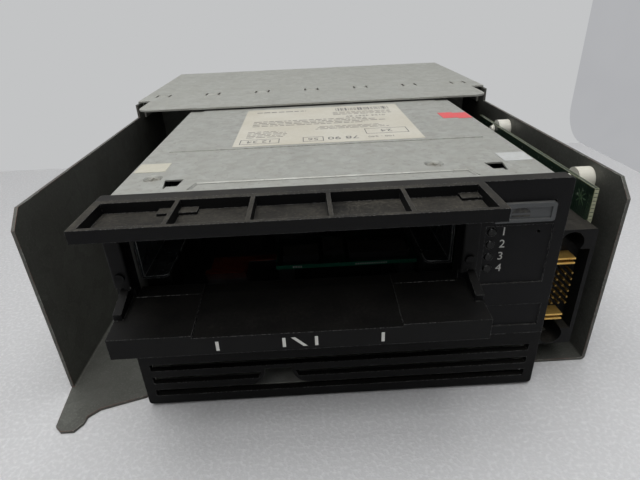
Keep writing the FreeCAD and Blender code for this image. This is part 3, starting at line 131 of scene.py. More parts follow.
def raised(tree, shader, height, depth, rounding=0.0):
    # bump of depth mm, over edges softened by rounding mm
    inputs = {"Height": height, "Strength": 1.0, "Distance": depth * mm}
    if rounding:
        inputs["Normal"] = addNode(tree, "ShaderNodeBevel", {"Radius": rounding * mm}, samples=4).outputs[0]
    tree.links.new(addNode(tree, "ShaderNodeBump", inputs).outputs[0], shader.inputs["Normal"])


def seenDirectly(tree):
    # 1 for what the camera, mirrors and clear pieces see, and 0 for light that falls on things
    path = addNode(tree, "ShaderNodeLightPath").outputs
    seen = path["Is Camera Ray"]
    for ray in ("Is Glossy Ray", "Is Transmission Ray"):
        either = addNode(tree, "ShaderNodeMath", {0: seen, 1: path[ray]}, operation="ADD", use_clamp=True)
        seen = either.outputs[0]
    return seen


def zincSheet(name, look):
    # hot-dip galvanised steel: flat spangle, dull oxide clouds, rust where a cut edge lost its zinc, edges
    # lightened as bare metal with a painted highlight, and painted glint specks
    material, tree, shader, place = startMaterial(name, metallic=look["metallic"])
    spangle = addNode(tree, "ShaderNodeTexVoronoi", {"Vector": place, "Scale": perMetre / look["spangle"]},
                      feature="F1")
    grain = addNode(tree, "ShaderNodeSeparateXYZ", {0: spangle.outputs["Color"]}).outputs["X"]
    cloud = patches(tree, place, size=look["cloud"], low=0.3, high=0.7, detail=6.0)
    streak = patches(tree, place, size=9.0, low=0.60, high=0.72, detail=3.0, stretch=(1.0, 0.12, 1.0))
    speck = patches(tree, place, size=1.3, low=0.62, high=0.72, detail=3.0)
    glint = patches(tree, place, size=0.7, low=0.5, high=0.72, detail=3.0)
    bare = patches(tree, place, size=1.6, low=0.38, high=0.5, detail=2.0)
    # edges lightened in patches: bare metal, and a painted highlight
    bareEdgeAndHighlight = addNode(tree, "ShaderNodeMath", {0: edges(tree, size=0.5), 1: bare}, operation="MULTIPLY")
    layers = [(grain, look["contrast"], look["dark"]), (cloud, 0.55, look["oxide"]),
              (streak, 0.30, look["dark"]), (speck, 0.45, look["speck"]),
              (glint, look["glint"], "#a9aaa3"), (bareEdgeAndHighlight.outputs[0], 0.8, "#bcbdb5")]
    if look["rust"]:
        eaten = patches(tree, place, size=9.0, low=0.42, high=0.55)
        cut = addNode(tree, "ShaderNodeMath", {0: edges(tree, size=0.7), 1: eaten}, operation="MULTIPLY")
        layers.append((cut.outputs[0], look["rust"], "#5b2f22"))
    tree.links.new(layered(tree, look["base"], layers), shader.inputs["Base Color"])
    half = addNode(tree, "ShaderNodeMath", {0: grain, 1: 0.5, 2: 0.5}, operation="MULTIPLY_ADD").outputs[0]
    smooth, rough = look["roughness"]
    dull = addNode(tree, "ShaderNodeMapRange", {"Value": half, "To Min": smooth, "To Max": rough})
    tree.links.new(dull.outputs["Result"], shader.inputs["Roughness"])
    raised(tree, shader, cloud, depth=0.03, rounding=0.25)
    return material


# the tray, rear panel and bulkheads get a far darker copy of the zinc than the cover and case: painted shade on
# the shaded tray walls
trayZincPaintedShade = zincSheet("galvanisedSteelTrayPaintedShade", {
    "base": "#5f605b", "dark": "#4d4e49", "oxide": "#474641", "metallic": 0.6, "spangle": 6.0,
    "cloud": 26.0, "contrast": 0.5, "rust": 0.95, "roughness": (0.42, 0.62), "speck": "#3a3a35",
    "glint": 0.12})
coverZinc = zincSheet("galvanisedSteelCover", {
    "base": "#a5a6a0", "dark": "#8f908a", "oxide": "#929189", "metallic": 0.45, "spangle": 2.8,
    "cloud": 9.0, "contrast": 0.4, "rust": 0.35, "roughness": (0.45, 0.62), "speck": "#66635a",
    "glint": 0.1})
caseZinc = zincSheet("zincPlatedDriveCase", {
    "base": "#a4a5a0", "dark": "#888983", "oxide": "#8e8d85", "metallic": 0.45, "spangle": 2.4,
    "cloud": 6.0, "contrast": 0.42, "rust": 0.0, "roughness": (0.42, 0.6), "speck": "#66635a",
    "glint": 0.1})


def plainMetal(name, look):
    # turned, stamped or plated small metal: handling dulls it in soft patches, over a faintly uneven skin
    material, tree, shader, place = startMaterial(name, metallic=look.get("metallic", 1.0))
    wear = patches(tree, place, size=look["size"], low=0.35, high=0.7, detail=5.0)
    layers = [(wear, 0.6, look["dark"])]
    if "edge" in look:  # edges lightened: a painted highlight
        layers.append((edges(tree, size=0.45, sharp=0.3), 1.0, look["edge"]))
    tree.links.new(layered(tree, look["base"], layers), shader.inputs["Base Color"])
    smooth, rough = look["roughness"]
    dull = addNode(tree, "ShaderNodeMapRange", {"Value": wear, "To Min": smooth, "To Max": rough})
    tree.links.new(dull.outputs["Result"], shader.inputs["Roughness"])
    skin = patches(tree, place, size=0.5, low=0.3, high=0.7, detail=2.0)
    raised(tree, shader, skin, depth=look["bump"], rounding=0.12)
    return material


screwZinc = plainMetal("zincPlatedScrew", {"base": "#b9b7ae", "dark": "#8b887c", "size": 2.5,
                                           "roughness": (0.25, 0.45), "bump": 0.01})
screwBlack = plainMetal("blackenedScrew", {"base": "#202020", "dark": "#080808", "size": 1.6,
                                           "roughness": (0.3, 0.5), "bump": 0.01})
axleSteel = plainMetal("groundSteelPin", {"base": "#c8c9c8", "dark": "#9b9d9c", "size": 4.0,
                                          "roughness": (0.15, 0.3), "bump": 0.004})
# its near-white edge colour is a painted highlight along the sheet's edges
carriageZinc = plainMetal("brightZincSheet", {
    "metallic": 0.5, "base": "#3c3f40", "dark": "#242627", "size": 5.0, "roughness": (0.22, 0.42),
    "bump": 0.01, "edge": "#f6f8f8"})
knobNickel = plainMetal("nickelPlatedKnob", {"base": "#a9a8a3", "dark": "#77756e", "size": 5.0,
                                             "roughness": (0.25, 0.4), "bump": 0.01})
portNickel = plainMetal("nickelPlatedShell", {"base": "#b4b3ac", "dark": "#8c8a80", "size": 8.0,
                                              "roughness": (0.28, 0.42), "bump": 0.01})
contactGold = plainMetal("goldFlashedContact", {
    "metallic": 0.7, "base": "#dfb868", "dark": "#a97f3a", "size": 3.0, "roughness": (0.3, 0.5),
    "bump": 0.006})
# the dark gold is painted shade for pins deep in their housing, and the bright edge colour is a painted
# highlight on their tips
goldPinPaintedShade = plainMetal("goldPinPaintedShadeAndHighlight", {
    "metallic": 0.7, "base": "#5c471f", "dark": "#332710", "size": 2.0, "roughness": (0.35, 0.5),
    "bump": 0.004, "edge": "#cfa75a"})
deckCast = plainMetal("machinedCastAluminium", {"base": "#5c5d5d", "dark": "#3e4042", "size": 10.0,
                                                "roughness": (0.35, 0.55), "bump": 0.02})
motorCan = plainMetal("platedMotorCan", {"base": "#7d8083", "dark": "#5c5f62", "size": 9.0,
                                         "roughness": (0.3, 0.5), "bump": 0.01})
rollerHard = plainMetal("anodisedRoller", {"base": "#b9b5a6", "dark": "#979282", "size": 3.0,
                                           "roughness": (0.2, 0.35), "bump": 0.004})


def mouldedPlastic(name, look):
    # spark-eroded mould skin: a fine even grain, edges lightened by rubbing wear and by a painted highlight,
    # grey dust lying on level tops
    material, tree, shader, place = startMaterial(name, ior=look.get("ior", 1.45))
    tone = patches(tree, place, size=30.0, low=0.3, high=0.7, detail=5.0)
    nick = patches(tree, place, size=0.55, low=0.44, high=0.62, detail=2.0)
    wornAndLitEdge = edges(tree, look["edge"])
    # edges lightened in nicks: partly rubbing wear, partly a painted highlight
    rubAndHighlight = addNode(tree, "ShaderNodeMath", {0: wornAndLitEdge, 1: nick}, operation="MULTIPLY").outputs[0]
    level = upward(tree)
    film = patches(tree, place, size=11.0, low=0.2, high=0.75, detail=8.0)
    clump = patches(tree, place, size=1.0, low=0.35, high=0.65, detail=3.0)
    clump = addNode(tree, "ShaderNodeMapRange", {"Value": clump, "To Min": 0.5, "To Max": 1.15}).outputs[0]
    lint = patches(tree, place, size=0.8, low=0.58, high=0.7, detail=2.0)
    film = addNode(tree, "ShaderNodeMath", {0: level, 1: film}, operation="MULTIPLY").outputs[0]
    film = addNode(tree, "ShaderNodeMath", {0: film, 1: clump}, operation="MULTIPLY").outputs[0]
    fleck = addNode(tree, "ShaderNodeMath", {0: level, 1: lint}, operation="MULTIPLY").outputs[0]
    film = addNode(tree, "ShaderNodeMapRange", {"Value": film, "To Max": look["dust"]}).outputs[0]
    fleck = addNode(tree, "ShaderNodeMapRange", {"Value": fleck, "To Max": look["dust"] * 0.6}).outputs[0]
    dust = addNode(tree, "ShaderNodeMath", {0: film, 1: fleck}, operation="ADD", use_clamp=True).outputs[0]
    colour = layered(tree, look["base"], [(tone, 1.0, look["tone"]), (rubAndHighlight, look["wear"], look["rubbedAndLit"]),
                                          (dust, 1.0, look["dustColour"])])
    tree.links.new(colour, shader.inputs["Base Color"])
    dull = addNode(tree, "ShaderNodeMapRange", {"Value": dust, "To Min": look["roughness"], "To Max": 0.92})
    polish = addNode(tree, "ShaderNodeMapRange", {"Value": rubAndHighlight, "To Max": -0.12})
    rough = addNode(tree, "ShaderNodeMath", {0: dull.outputs["Result"], 1: polish.outputs["Result"]},
                    operation="ADD", use_clamp=True)
    tree.links.new(rough.outputs[0], shader.inputs["Roughness"])
    # real grain is 0.1 mm, drawn coarser so that it shows
    grain = patches(tree, place, size=look["grain"], low=0.3, high=0.7, detail=2.0)
    raised(tree, shader, grain, depth=look["bump"], rounding=look["edge"])
    return material


blackAbs = mouldedPlastic("mouldedBlackAbs", {
    "base": "#0d0d0e", "tone": "#111112", "rubbedAndLit": "#a2a2a0", "edge": 0.28, "wear": 0.8, "dust": 0.45,
    "dustColour": "#4b4842", "roughness": 0.50, "grain": 0.35, "bump": 0.012, "ior": 1.22})
wipedAbs = mouldedPlastic("mouldedBlackAbsWiped", {
    "base": "#080808", "tone": "#0b0b0b", "rubbedAndLit": "#8c8c8a", "edge": 0.34, "wear": 0.85, "dust": 0.10,
    "dustColour": "#4b4842", "roughness": 0.50, "grain": 0.35, "bump": 0.012, "ior": 1.22})
dustyAbs = mouldedPlastic("mouldedBlackAbsDusty", {
    "base": "#0c0c0d", "tone": "#101010", "rubbedAndLit": "#a0a09e", "edge": 0.28, "wear": 0.8, "dust": 0.72,
    "dustColour": "#4d4a43", "roughness": 0.55, "grain": 0.35, "bump": 0.012, "ior": 1.22})
connectorBlack = mouldedPlastic("glassFilledBlackNylon", {
    "base": "#0b0b0b", "tone": "#080808", "rubbedAndLit": "#484848", "edge": 0.25, "wear": 0.3, "dust": 0.4,
    "dustColour": "#504c44", "roughness": 0.6, "grain": 0.5, "bump": 0.014, "ior": 1.28})
buttonGrey = mouldedPlastic("mouldedGreyAbs", {
    "base": "#404243", "tone": "#484a4b", "rubbedAndLit": "#9a9b9b", "edge": 0.2, "wear": 0.5, "dust": 0.3,
    "dustColour": "#8a877f", "roughness": 0.45, "grain": 0.35, "bump": 0.006})
nylonWhite = mouldedPlastic("naturalNylon", {
    "base": "#d9d8cf", "tone": "#cbc8bb", "rubbedAndLit": "#efeee9", "edge": 0.2, "wear": 0.3, "dust": 0.25,
    "dustColour": "#9b968a", "roughness": 0.45, "grain": 0.6, "bump": 0.004})
gearAcetal = mouldedPlastic("mouldedAcetal", {
    "base": "#cfccbd", "tone": "#c2beac", "rubbedAndLit": "#e4e2d8", "edge": 0.15, "wear": 0.2, "dust": 0.1,
    "dustColour": "#8f8a7d", "roughness": 0.4, "grain": 0.6, "bump": 0.004})
reelBlack = mouldedPlastic("mouldedReelBlack", {
    "base": "#262729", "tone": "#1f2022", "rubbedAndLit": "#6b6b6c", "edge": 0.2, "wear": 0.3, "dust": 0.2,
    "dustColour": "#5c5850", "roughness": 0.35, "grain": 0.5, "bump": 0.006})
chipEpoxy = mouldedPlastic("mouldedEpoxyChip", {
    "base": "#232425", "tone": "#2b2c2c", "rubbedAndLit": "#4f4f4f", "edge": 0.15, "wear": 0.2, "dust": 0.4,
    "dustColour": "#6a665c", "roughness": 0.6, "grain": 0.3, "bump": 0.006})
powderBlack = mouldedPlastic("powderCoatedSteel", {
    "base": "#1b1b1b", "tone": "#232323", "rubbedAndLit": "#7a7a78", "edge": 0.2, "wear": 0.25, "dust": 0.2,
    "dustColour": "#5c5850", "roughness": 0.42, "grain": 0.9, "bump": 0.02})


def solderMask(name, look):
    # green solder mask over copper: traces show as slightly lighter, raised, squared runs with tinned dots
    material, tree, shader, place = startMaterial(name, roughness=0.35, ior=1.5, coat=0.3)
    scaled = addNode(tree, "ShaderNodeVectorMath", {0: place, 1: (perMetre / look["pitch"],) * 3},
                     operation="MULTIPLY")
    runs = addNode(tree, "ShaderNodeTexBrick", {
        "Vector": scaled.outputs[0], "Scale": 1.0, "Mortar Size": 0.12, "Brick Width": 4.3, "Row Height": 1.0,
        "Bias": 0.0}).outputs["Fac"]
    copper = patches(tree, place, size=16.0, low=0.48, high=0.5, detail=1.0)
    trace = addNode(tree, "ShaderNodeMath", {0: runs, 1: copper}, operation="MULTIPLY").outputs[0]
    dots = addNode(tree, "ShaderNodeTexVoronoi", {
        "Vector": place, "Scale": perMetre / look["dots"], "Randomness": 0.7}).outputs["Distance"]
    pad = addNode(tree, "ShaderNodeMapRange", {"Value": dots, "From Min": 0.16, "From Max": 0.12}).outputs[0]
    tinned = patches(tree, place, size=9.0, low=0.5, high=0.52, detail=1.0)
    pad = addNode(tree, "ShaderNodeMath", {0: pad, 1: tinned}, operation="MULTIPLY").outputs[0]
    layers = [(trace, 0.8, look["trace"]), (pad, 1.0, "#a8a9a2"), (edges(tree, 0.9, 0.3), 0.85, look["rim"])]
    if "flank" in look:  # the routed edge shows the paler glass and epoxy
        layers.append((upward(tree, start=0.3, full=0.1), 1.0, look["flank"]))
    tree.links.new(layered(tree, look["mask"], layers), shader.inputs["Base Color"])
    tree.links.new(pad, shader.inputs["Metallic"])
    raised(tree, shader, trace, depth=0.03)
    return material


# pitch is the mm between runs, and dots the mm between tinned dots
boardGreen = solderMask("greenSolderMask", {"mask": "#081a10", "trace": "#11301f", "rim": "#a3a882",
                                            "pitch": 1.2, "dots": 3.2})
sensorGreen = solderMask("blackenedSolderMask", {"mask": "#07120c", "trace": "#0b1c12", "rim": "#2aa07c",
                                                 "flank": "#155f4a", "pitch": 0.9, "dots": 3.2})
circuitGreen = solderMask("greenSolderMaskSmall", {"mask": "#12402b", "trace": "#1f6040", "rim": "#7d8a62",
                                                   "pitch": 0.9, "dots": 3.2})


def paperLabel(name, look):
    # uncoated paper, print and bare board: matt, aged in broad clouds, with faint fibres
    material, tree, shader, place = startMaterial(name, roughness=0.75, ior=1.45)
    aged = patches(tree, place, size=22.0, low=0.35, high=0.75, detail=4.0)
    fibre = patches(tree, place, size=1.1, low=0.35, high=0.7, detail=4.0)
    colour = layered(tree, look["base"], [(aged, 1.0, look["aged"]), (fibre, 0.15, "#8c8676")])
    tree.links.new(colour, shader.inputs["Base Color"])
    raised(tree, shader, fibre, depth=0.004)
    return material


maskedCopper = paperLabel("copperUnderMask", {"base": "#3f5c3c", "aged": "#2f4a30"})
boardFlank = paperLabel("routedGlassEpoxyEdge", {"base": "#a3a58c", "aged": "#8b8e70"})
labelCream = paperLabel("creamPaperLabel", {"base": "#b9b6ab", "aged": "#b0ab9d"})


def cornerStickers(name, look):
    # paper tabs: yellowed left, faded grey right, pink-red at the rear, each chosen by where it lies
    material, tree, shader, place = startMaterial(name, roughness=0.7, ior=1.45)
    spot = addNode(tree, "ShaderNodeSeparateXYZ", {0: place}).outputs
    fibre = patches(tree, place, size=1.3, low=0.3, high=0.75, detail=4.0)
    layers = []
    for axis, start, colour in (("X", look["middle"], look["right"]), ("Y", look["rearFrom"], look["rear"])):
        past = addNode(tree, "ShaderNodeMath", {0: spot[axis], 1: start}, operation="GREATER_THAN").outputs[0]
        layers.append((past, 1.0, colour))
    layers.append((fibre, 0.25, look["soil"]))
    tree.links.new(layered(tree, look["left"], layers), shader.inputs["Base Color"])
    raised(tree, shader, fibre, depth=0.004)
    return material


cornerPaper = cornerStickers("cornerPaperStickers", {
    "left": "#b3b0a2", "right": "#b0b2b1", "rear": "#cf4d52", "soil": "#8f8b80",
    "middle": 0.0, "rearFrom": -0.09})  # in m
# dark marks standing in for the shading of an embossed outline: painted shade
ejectEmbossShade = paperLabel("embossPaintedShade", {"base": "#18191a", "aged": "#222324"})
inkGrey = paperLabel("printedGreyInk", {"base": "#5a5a5c", "aged": "#6d6c6b"})
markWhite = paperLabel("whiteHotStamp", {"base": "#d0d0cc", "aged": "#b9b9b3"})
panelGrey = paperLabel("greyPadPrint", {"base": "#b4b4b0", "aged": "#9d9d99"})


def flexFilm(name, look):
    # amber polyimide film over copper runs about 1 mm apart, glossy
    material, tree, shader, place = startMaterial(name, roughness=0.25, ior=1.7, coat=0.4)
    # 3.14 brings the mm between runs to this pattern's own scale
    runs = addNode(tree, "ShaderNodeTexWave", {"Vector": place, "Scale": perMetre / look["pitch"] / 3.14},
                   wave_type="BANDS", bands_direction="Y").outputs["Fac"]
    tree.links.new(layered(tree, look["film"], [(runs, 1.0, look["copper"])]), shader.inputs["Base Color"])
    raised(tree, shader, runs, depth=0.02)
    return material


flexAmber = flexFilm("amberPolyimide", {"film": "#4a170b", "copper": "#742a14", "pitch": 1.0})


def clearGuide(name, look):
    # clear moulded acrylic, unlit, so it looks like smoked grey glass in its hole
    material, tree, shader, place = startMaterial(name, roughness=0.15, ior=1.3)
    haze = patches(tree, place, size=1.2, low=0.35, high=0.7, detail=3.0)
    tree.links.new(layered(tree, look["base"], [(haze, 1.0, look["haze"])]), shader.inputs["Base Color"])
    raised(tree, shader, haze, depth=0.004, rounding=0.2)
    return material


lampClear = clearGuide("unlitAcrylicLightGuide", {"base": "#0a0b0a", "haze": "#141514"})


def lappedFerrite(name, look):
    # ground ceramic: nearly black, glassy, with fine lapping lines
    material, tree, shader, place = startMaterial(name, roughness=0.12, ior=1.9)
    lap = patches(tree, place, size=0.6, low=0.3, high=0.7, detail=2.0, stretch=(1.0, 1.0, 0.1))
    tree.links.new(layered(tree, look["base"], [(lap, 1.0, look["line"])]), shader.inputs["Base Color"])
    raised(tree, shader, lap, depth=0.003, rounding=0.2)
    return material


headFerrite = lappedFerrite("lappedFerriteHead", {"base": "#2b2826", "line": "#3c3835"})
print("materials made")


finishes = {
    "sled_tray": trayZincPaintedShade, "rear_cover": coverZinc, "rear_panel": trayZincPaintedShade, "bulkhead_left": trayZincPaintedShade,
    "bulkhead_right": trayZincPaintedShade, "case_screws": screwZinc, "fan_frame": blackAbs, "fan_rotor": blackAbs,
    "panel_screws": screwZinc, "pull_handle": powderBlack, "thumbscrew_left": knobNickel,
    "thumbscrew_right": knobNickel, "thumbscrew_ferrules": knobNickel, "data_connectors": portNickel,
    "jack_screws": screwZinc, "interface_board": boardGreen, "board_standoffs": nylonWhite,
    "board_chips": chipEpoxy, "blind_mate_housing": connectorBlack, "power_blades": contactGold,
    "signal_pins": goldPinPaintedShade, "drive_mounting_screws": screwZinc, "drive_chassis": caseZinc,
    "drive_top_cover": caseZinc, "top_cover_screws": screwZinc, "drive_rear_plate": caseZinc,
    "drive_rear_connectors": portNickel, "bezel": blackAbs, "vent_panel": wipedAbs,
    "funnel_lip": dustyAbs, "funnel_ramp": wipedAbs, "funnel_posts": wipedAbs,
    "funnel_screws": screwBlack, "eject_button": buttonGrey, "eject_switch": chipEpoxy,
    "front_board": circuitGreen, "status_lights": lampClear, "deck_plate": deckCast,
    "sensor_board": sensorGreen, "flex_strip": flexAmber, "axle_pins": axleSteel,
    "loader_carriage": carriageZinc, "loader_gear": gearAcetal, "loader_motor": motorCan,
    "loader_motor_gear": gearAcetal, "reel_motors": motorCan, "drive_chuck": reelBlack,
    "takeup_reel": reelBlack, "head_shafts": axleSteel, "head_carriage": deckCast,
    "tape_head": headFerrite, "main_board": boardGreen, "main_board_chips": chipEpoxy,
    "rating_label": labelCream, "stickers": cornerPaper,
}
finishes.update({"guide_roller_%d" % k: rollerHard for k in range(1, 5)})
for name, material in finishes.items():
    solid = nodes[name].data
    if len(solid.materials) == 0:
        solid.materials.append(material)
    for k in range(len(solid.materials)):
        solid.materials[k] = material
print("finishes on", len(finishes), "solids")


# stage: a pale mat with a curved backdrop behind and on the right, lengths in m
# floorLeft and fade darken the mat towards the left: painted shade
stage = {"floor": "#c4c4c5", "floorLeft": "#b4b4b5", "fade": (-0.25, 0.0), "wall": "#c3c4c5",
         "side": "#adaeb1", "back": 0.200, "right": 0.300, "sweep": 0.03, "steps": 8, "high": 1.4,
         "leftEnd": -1.7, "frontEnd": -1.3, "reach": 3.0}


def seenPlain(name, look, colour):
    # a wall that the camera and mirrors see at one plain level, and that lights like pale paper
    material, tree, shader, place = startMaterial(name, roughness=0.9)
    cloud = patches(tree, place, size=90.0, low=0.3, high=0.7, detail=2.0)
    tone = layered(tree, colour, [(cloud, 0.2, look["wall"])])
    tree.links.new(tone, shader.inputs["Base Color"])
    glow = addNode(tree, "ShaderNodeEmission", {"Color": tone, "Strength": 1.0})
    seen = seenDirectly(tree)
    front = addNode(tree, "ShaderNodeMixShader", {0: seen, 1: shader.outputs[0], 2: glow.outputs[0]})
    # from behind it is clear, so that the object can be seen from every side
    clear = addNode(tree, "ShaderNodeBsdfTransparent")
    behind = addNode(tree, "ShaderNodeNewGeometry").outputs["Backfacing"]
    oneSided = addNode(tree, "ShaderNodeMixShader", {0: behind, 1: front.outputs[0], 2: clear.outputs[0]})
    tree.links.new(oneSided.outputs[0], tree.nodes["Material Output"].inputs["Surface"])
    return material


def foamMat(name, look):
    # fine-grained foam: pale grit, and a little darker towards the left: painted shade
    material, tree, shader, place = startMaterial(name, roughness=0.8)
    grit = patches(tree, place, size=1.5, low=0.45, high=0.75, detail=3.0)
    start, full = look["fade"]
    across = addNode(tree, "ShaderNodeSeparateXYZ", {0: place}).outputs["X"]
    fade = addNode(tree, "ShaderNodeMapRange", {"Value": across, "From Min": start, "From Max": full})
    colour = layered(tree, look["floorLeft"], [(fade.outputs[0], 1.0, look["floor"]), (grit, 0.2, "#ffffff")])
    tree.links.new(colour, shader.inputs["Base Color"])
    raised(tree, shader, grit, depth=0.12)
    return material


def makeStage(look):
    mat = foamMat("paleFoamMat", look)
    wall = seenPlain("paleBackdrop", look, look["wall"])
    side = seenPlain("paleSideBackdrop", look, look["side"])
    back, right, bend, far = look["back"], look["right"], look["sweep"], look["reach"]
    turns = [math.pi / 2 / look["steps"] * k for k in range(look["steps"] + 1)]
    # the wall's section: (how far past the foot of the wall, how high), from the mat up
    profile = [(bend * math.sin(t) - bend, bend * (1 - math.cos(t))) for t in turns] + [(0.0, look["high"])]
    backRows = [[(end, back + out, up) for end in (look["leftEnd"], right - bend)] for out, up in profile]
    sideRows = [[(right + out, end, up) for end in (look["frontEnd"], back - bend)] for out, up in profile]
    floor = [(-far, -far, 0), (far, -far, 0), (far, far, 0), (-far, far, 0)]
    sheets = [("stageFloor", mat, floor, [(0, 1, 2, 3)])]
    # the order of the corners turns each wall's front towards the object
    for name, paint, rows, order in (("stageBack", wall, backRows, (0, 1, 3, 2)),
                                     ("stageSide", side, sideRows, (2, 3, 1, 0))):
        faces = [tuple(2 * k + i for i in order) for k in range(len(rows) - 1)]
        sheets.append((name, paint, [corner for row in rows for corner in row], faces))
    # the corner joins the ends of both walls through a line between them
    n = len(profile)
    points = [(right - bend, back + out, up) for out, up in profile]
    points += [(right + out, back + out, up) for out, up in profile]
    points += [(right + out, back - bend, up) for out, up in profile]
    faces = [(k + n, k + n + 1, k + 1, k) for start in (0, n) for k in range(start, start + n - 1)]
    sheets.append(("stageCorner", side, points, faces))
    for name, paint, points, faces in sheets:
        mesh = bpy.data.meshes.new(name)
        mesh.from_pydata(points, [], faces)
        mesh.materials.append(paint)
        sheet = bpy.data.objects.new(name, mesh)
        bpy.context.scene.collection.objects.link(sheet)


lamps = {  # lengths in m, power in W
    "ceiling": {"place": (0.0, 0.20, 0.85), "aim": (0.0, 0.02, 0.05), "size": (1.0, 0.8), "power": 10.2},
    "front": {"place": (0.08, -0.62, 1.1), "aim": (0.0, -0.18, 0.0), "size": (1.4, 0.7), "power": 11.0},
}
surround = {"fill": "#cccccc", "fillPower": 0.36, "seen": "#c3c4c5"}


def makeLamps(lamps, surround):
    for name, look in lamps.items():
        lamp = bpy.data.lights.new(name, "AREA")
        lamp.shape = "RECTANGLE"
        lamp.size, lamp.size_y = look["size"]
        lamp.energy = look["power"]
        rig = bpy.data.objects.new(name, lamp)
        rig.location = look["place"]
        rig.rotation_euler = (Vector(look["aim"]) - Vector(look["place"])).to_track_quat("-Z", "Y").to_euler()
        bpy.context.scene.collection.objects.link(rig)
    world = bpy.data.worlds.new("studio")
    world.use_nodes = True
    tree = world.node_tree
    fill = tree.nodes["Background"]
    fill.inputs["Color"].default_value = hexColour(surround["fill"])
    fill.inputs["Strength"].default_value = surround["fillPower"]
    shown = addNode(tree, "ShaderNodeBackground", {"Color": surround["seen"], "Strength": 1.0})
    seen = seenDirectly(tree)
    both = addNode(tree, "ShaderNodeMixShader", {0: seen, 1: fill.outputs[0], 2: shown.outputs[0]})
    tree.links.new(both.outputs[0], tree.nodes["World Output"].inputs["Surface"])
    bpy.context.scene.world = world


makeStage(stage)
makeLamps(lamps, surround)
bpy.context.scene.view_settings.view_transform = "Standard"
print("stage and light set")


# the drive sits 3.65 mm right of the tray's middle, its bezel face 145 mm ahead of the middle
driveOffset = (3.65, -145.0)


# a place in mm from the middle of the sled, or of the drive's bezel, as Blender's metres
def sled(x, y, z):
    return Vector((x, y, z)) * mm


def drive(x, y, z):
    return sled(x + driveOffset[0], y + driveOffset[1], z)


def addPiece(name, body, material, points, faces, slot=None):
    mesh = bpy.data.meshes.new(name)
    mesh.from_pydata([tuple(p) for p in points], [], faces)
    mesh.materials.append(material)
    piece = bpy.data.objects.new(name, mesh)
    bpy.context.scene.collection.objects.link(piece)
    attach(piece, body)


def slabs(boxes, at):
    # closed boxes as one mesh: each is (x0, x1, y0, y1, z0, z1) in mm in the frame of at
    points, faces = [], []
    for x0, x1, y0, y1, z0, z1 in boxes:
        n = len(points)
        points += [at(x, y, z) for z in (z0, z1) for y in (y0, y1) for x in (x0, x1)]
        faces += [tuple(n + k for k in q) for q in ((0, 2, 3, 1), (4, 5, 7, 6), (0, 1, 5, 4), (2, 6, 7, 3),
                                                    (0, 4, 6, 2), (1, 3, 7, 5))]
    return points, faces


def flatShapes(outlines, at, depth):
    # thin plates on a front face: each outline is (x, z) corners, depth is (near, far) in y
    points, faces = [], []
    for corners in outlines:
        n, count = len(points), len(corners)
        points += [at(x, y, z) for y in depth for x, z in corners]
        faces += [tuple(range(n, n + count)), tuple(range(n + 2 * count - 1, n + count - 1, -1))]
        for k in range(count):
            after = (k + 1) % count
            faces.append((n + k, n + count + k, n + count + after, n + after))
    return points, faces


def written(text, size, spot, turn, thick=0.02):
    # generic characters as a flat mesh: (points, faces); turn is a rotation matrix
    curve = bpy.data.curves.new("writing", "FONT")
    curve.body, curve.size, curve.align_x, curve.align_y = text, size * mm, "CENTER", "CENTER"
    curve.extrude, curve.resolution_u = thick * mm, 3
    holder = bpy.data.objects.new("writing", curve)
    mesh = bpy.data.meshes.new_from_object(holder)
    points = [spot + turn @ v.co for v in mesh.vertices]
    faces = [tuple(f.vertices) for f in mesh.polygons]
    bpy.data.objects.remove(holder)
    return points, faces


def gather(parts):
    # joins pairs of (points, faces) into one
    points, faces = [], []
    for more, quads in parts:
        n = len(points)
        points += more
        faces += [tuple(n + k for k in q) for q in quads]
    return points, faces


# alignment marks stamped on the ramp's front face: four upright strokes and one slanted
alignmentMarks = {"z": (43.4, 46.9), "depth": (-20.54, -20.49), "strokes": (  # foot and top, from and to in x
    ((-39.5, -38.5), (-39.5, -38.5)), ((-19.0, -18.0), (-19.0, -18.0)), ((-9.0, -8.0), (-9.0, -8.0)),
    ((11.6, 12.6), (11.6, 12.6)), ((-12.6, -11.3), (-16.3, -15.0)))}
low, high = alignmentMarks["z"]
strokes = [[(foot[0], low), (foot[1], low), (top[1], high), (top[0], high)]
           for foot, top in alignmentMarks["strokes"]]
addPiece("alignmentMarks", "sled", markWhite, *flatShapes(strokes, drive, alignmentMarks["depth"]))

# a plain number beside each lamp
upright = Matrix.Rotation(math.radians(90), 3, "X")
lampNumbers = {"x": 54.6, "y": 0.48, "z": (68.5, 63.9, 59.3, 54.7), "size": 4.2}
words = [written(str(k + 1), lampNumbers["size"], drive(lampNumbers["x"], lampNumbers["y"], z), upright)
         for k, z in enumerate(lampNumbers["z"])]
addPiece("lampNumbers", "sled", panelGrey, *gather(words))

# the eject mark, a dome over a bar, embossed on the real button and drawn here as dark marks: painted shade of
# the emboss
ejectMark = {"x": 58.6, "z": 75.6, "half": 3.0, "high": 1.8, "sill": -0.1, "bar": (-1.5, -0.8), "steps": 12,
             "depth": (-0.76, -0.66)}
dome = []
for k in range(ejectMark["steps"] + 1):
    turn = math.pi / ejectMark["steps"] * k
    dome.append((ejectMark["x"] + ejectMark["half"] * math.cos(turn),
                 ejectMark["z"] + ejectMark["sill"] + ejectMark["high"] * math.sin(turn)))
left, right = ejectMark["x"] - ejectMark["half"], ejectMark["x"] + ejectMark["half"]
foot, top = (ejectMark["z"] + level for level in ejectMark["bar"])
bar = [(left, foot), (right, foot), (right, top), (left, top)]
addPiece("ejectMark", "eject_button", ejectEmbossShade, *flatShapes([dome, bar], drive, ejectMark["depth"]),
         slot="button_plastic")

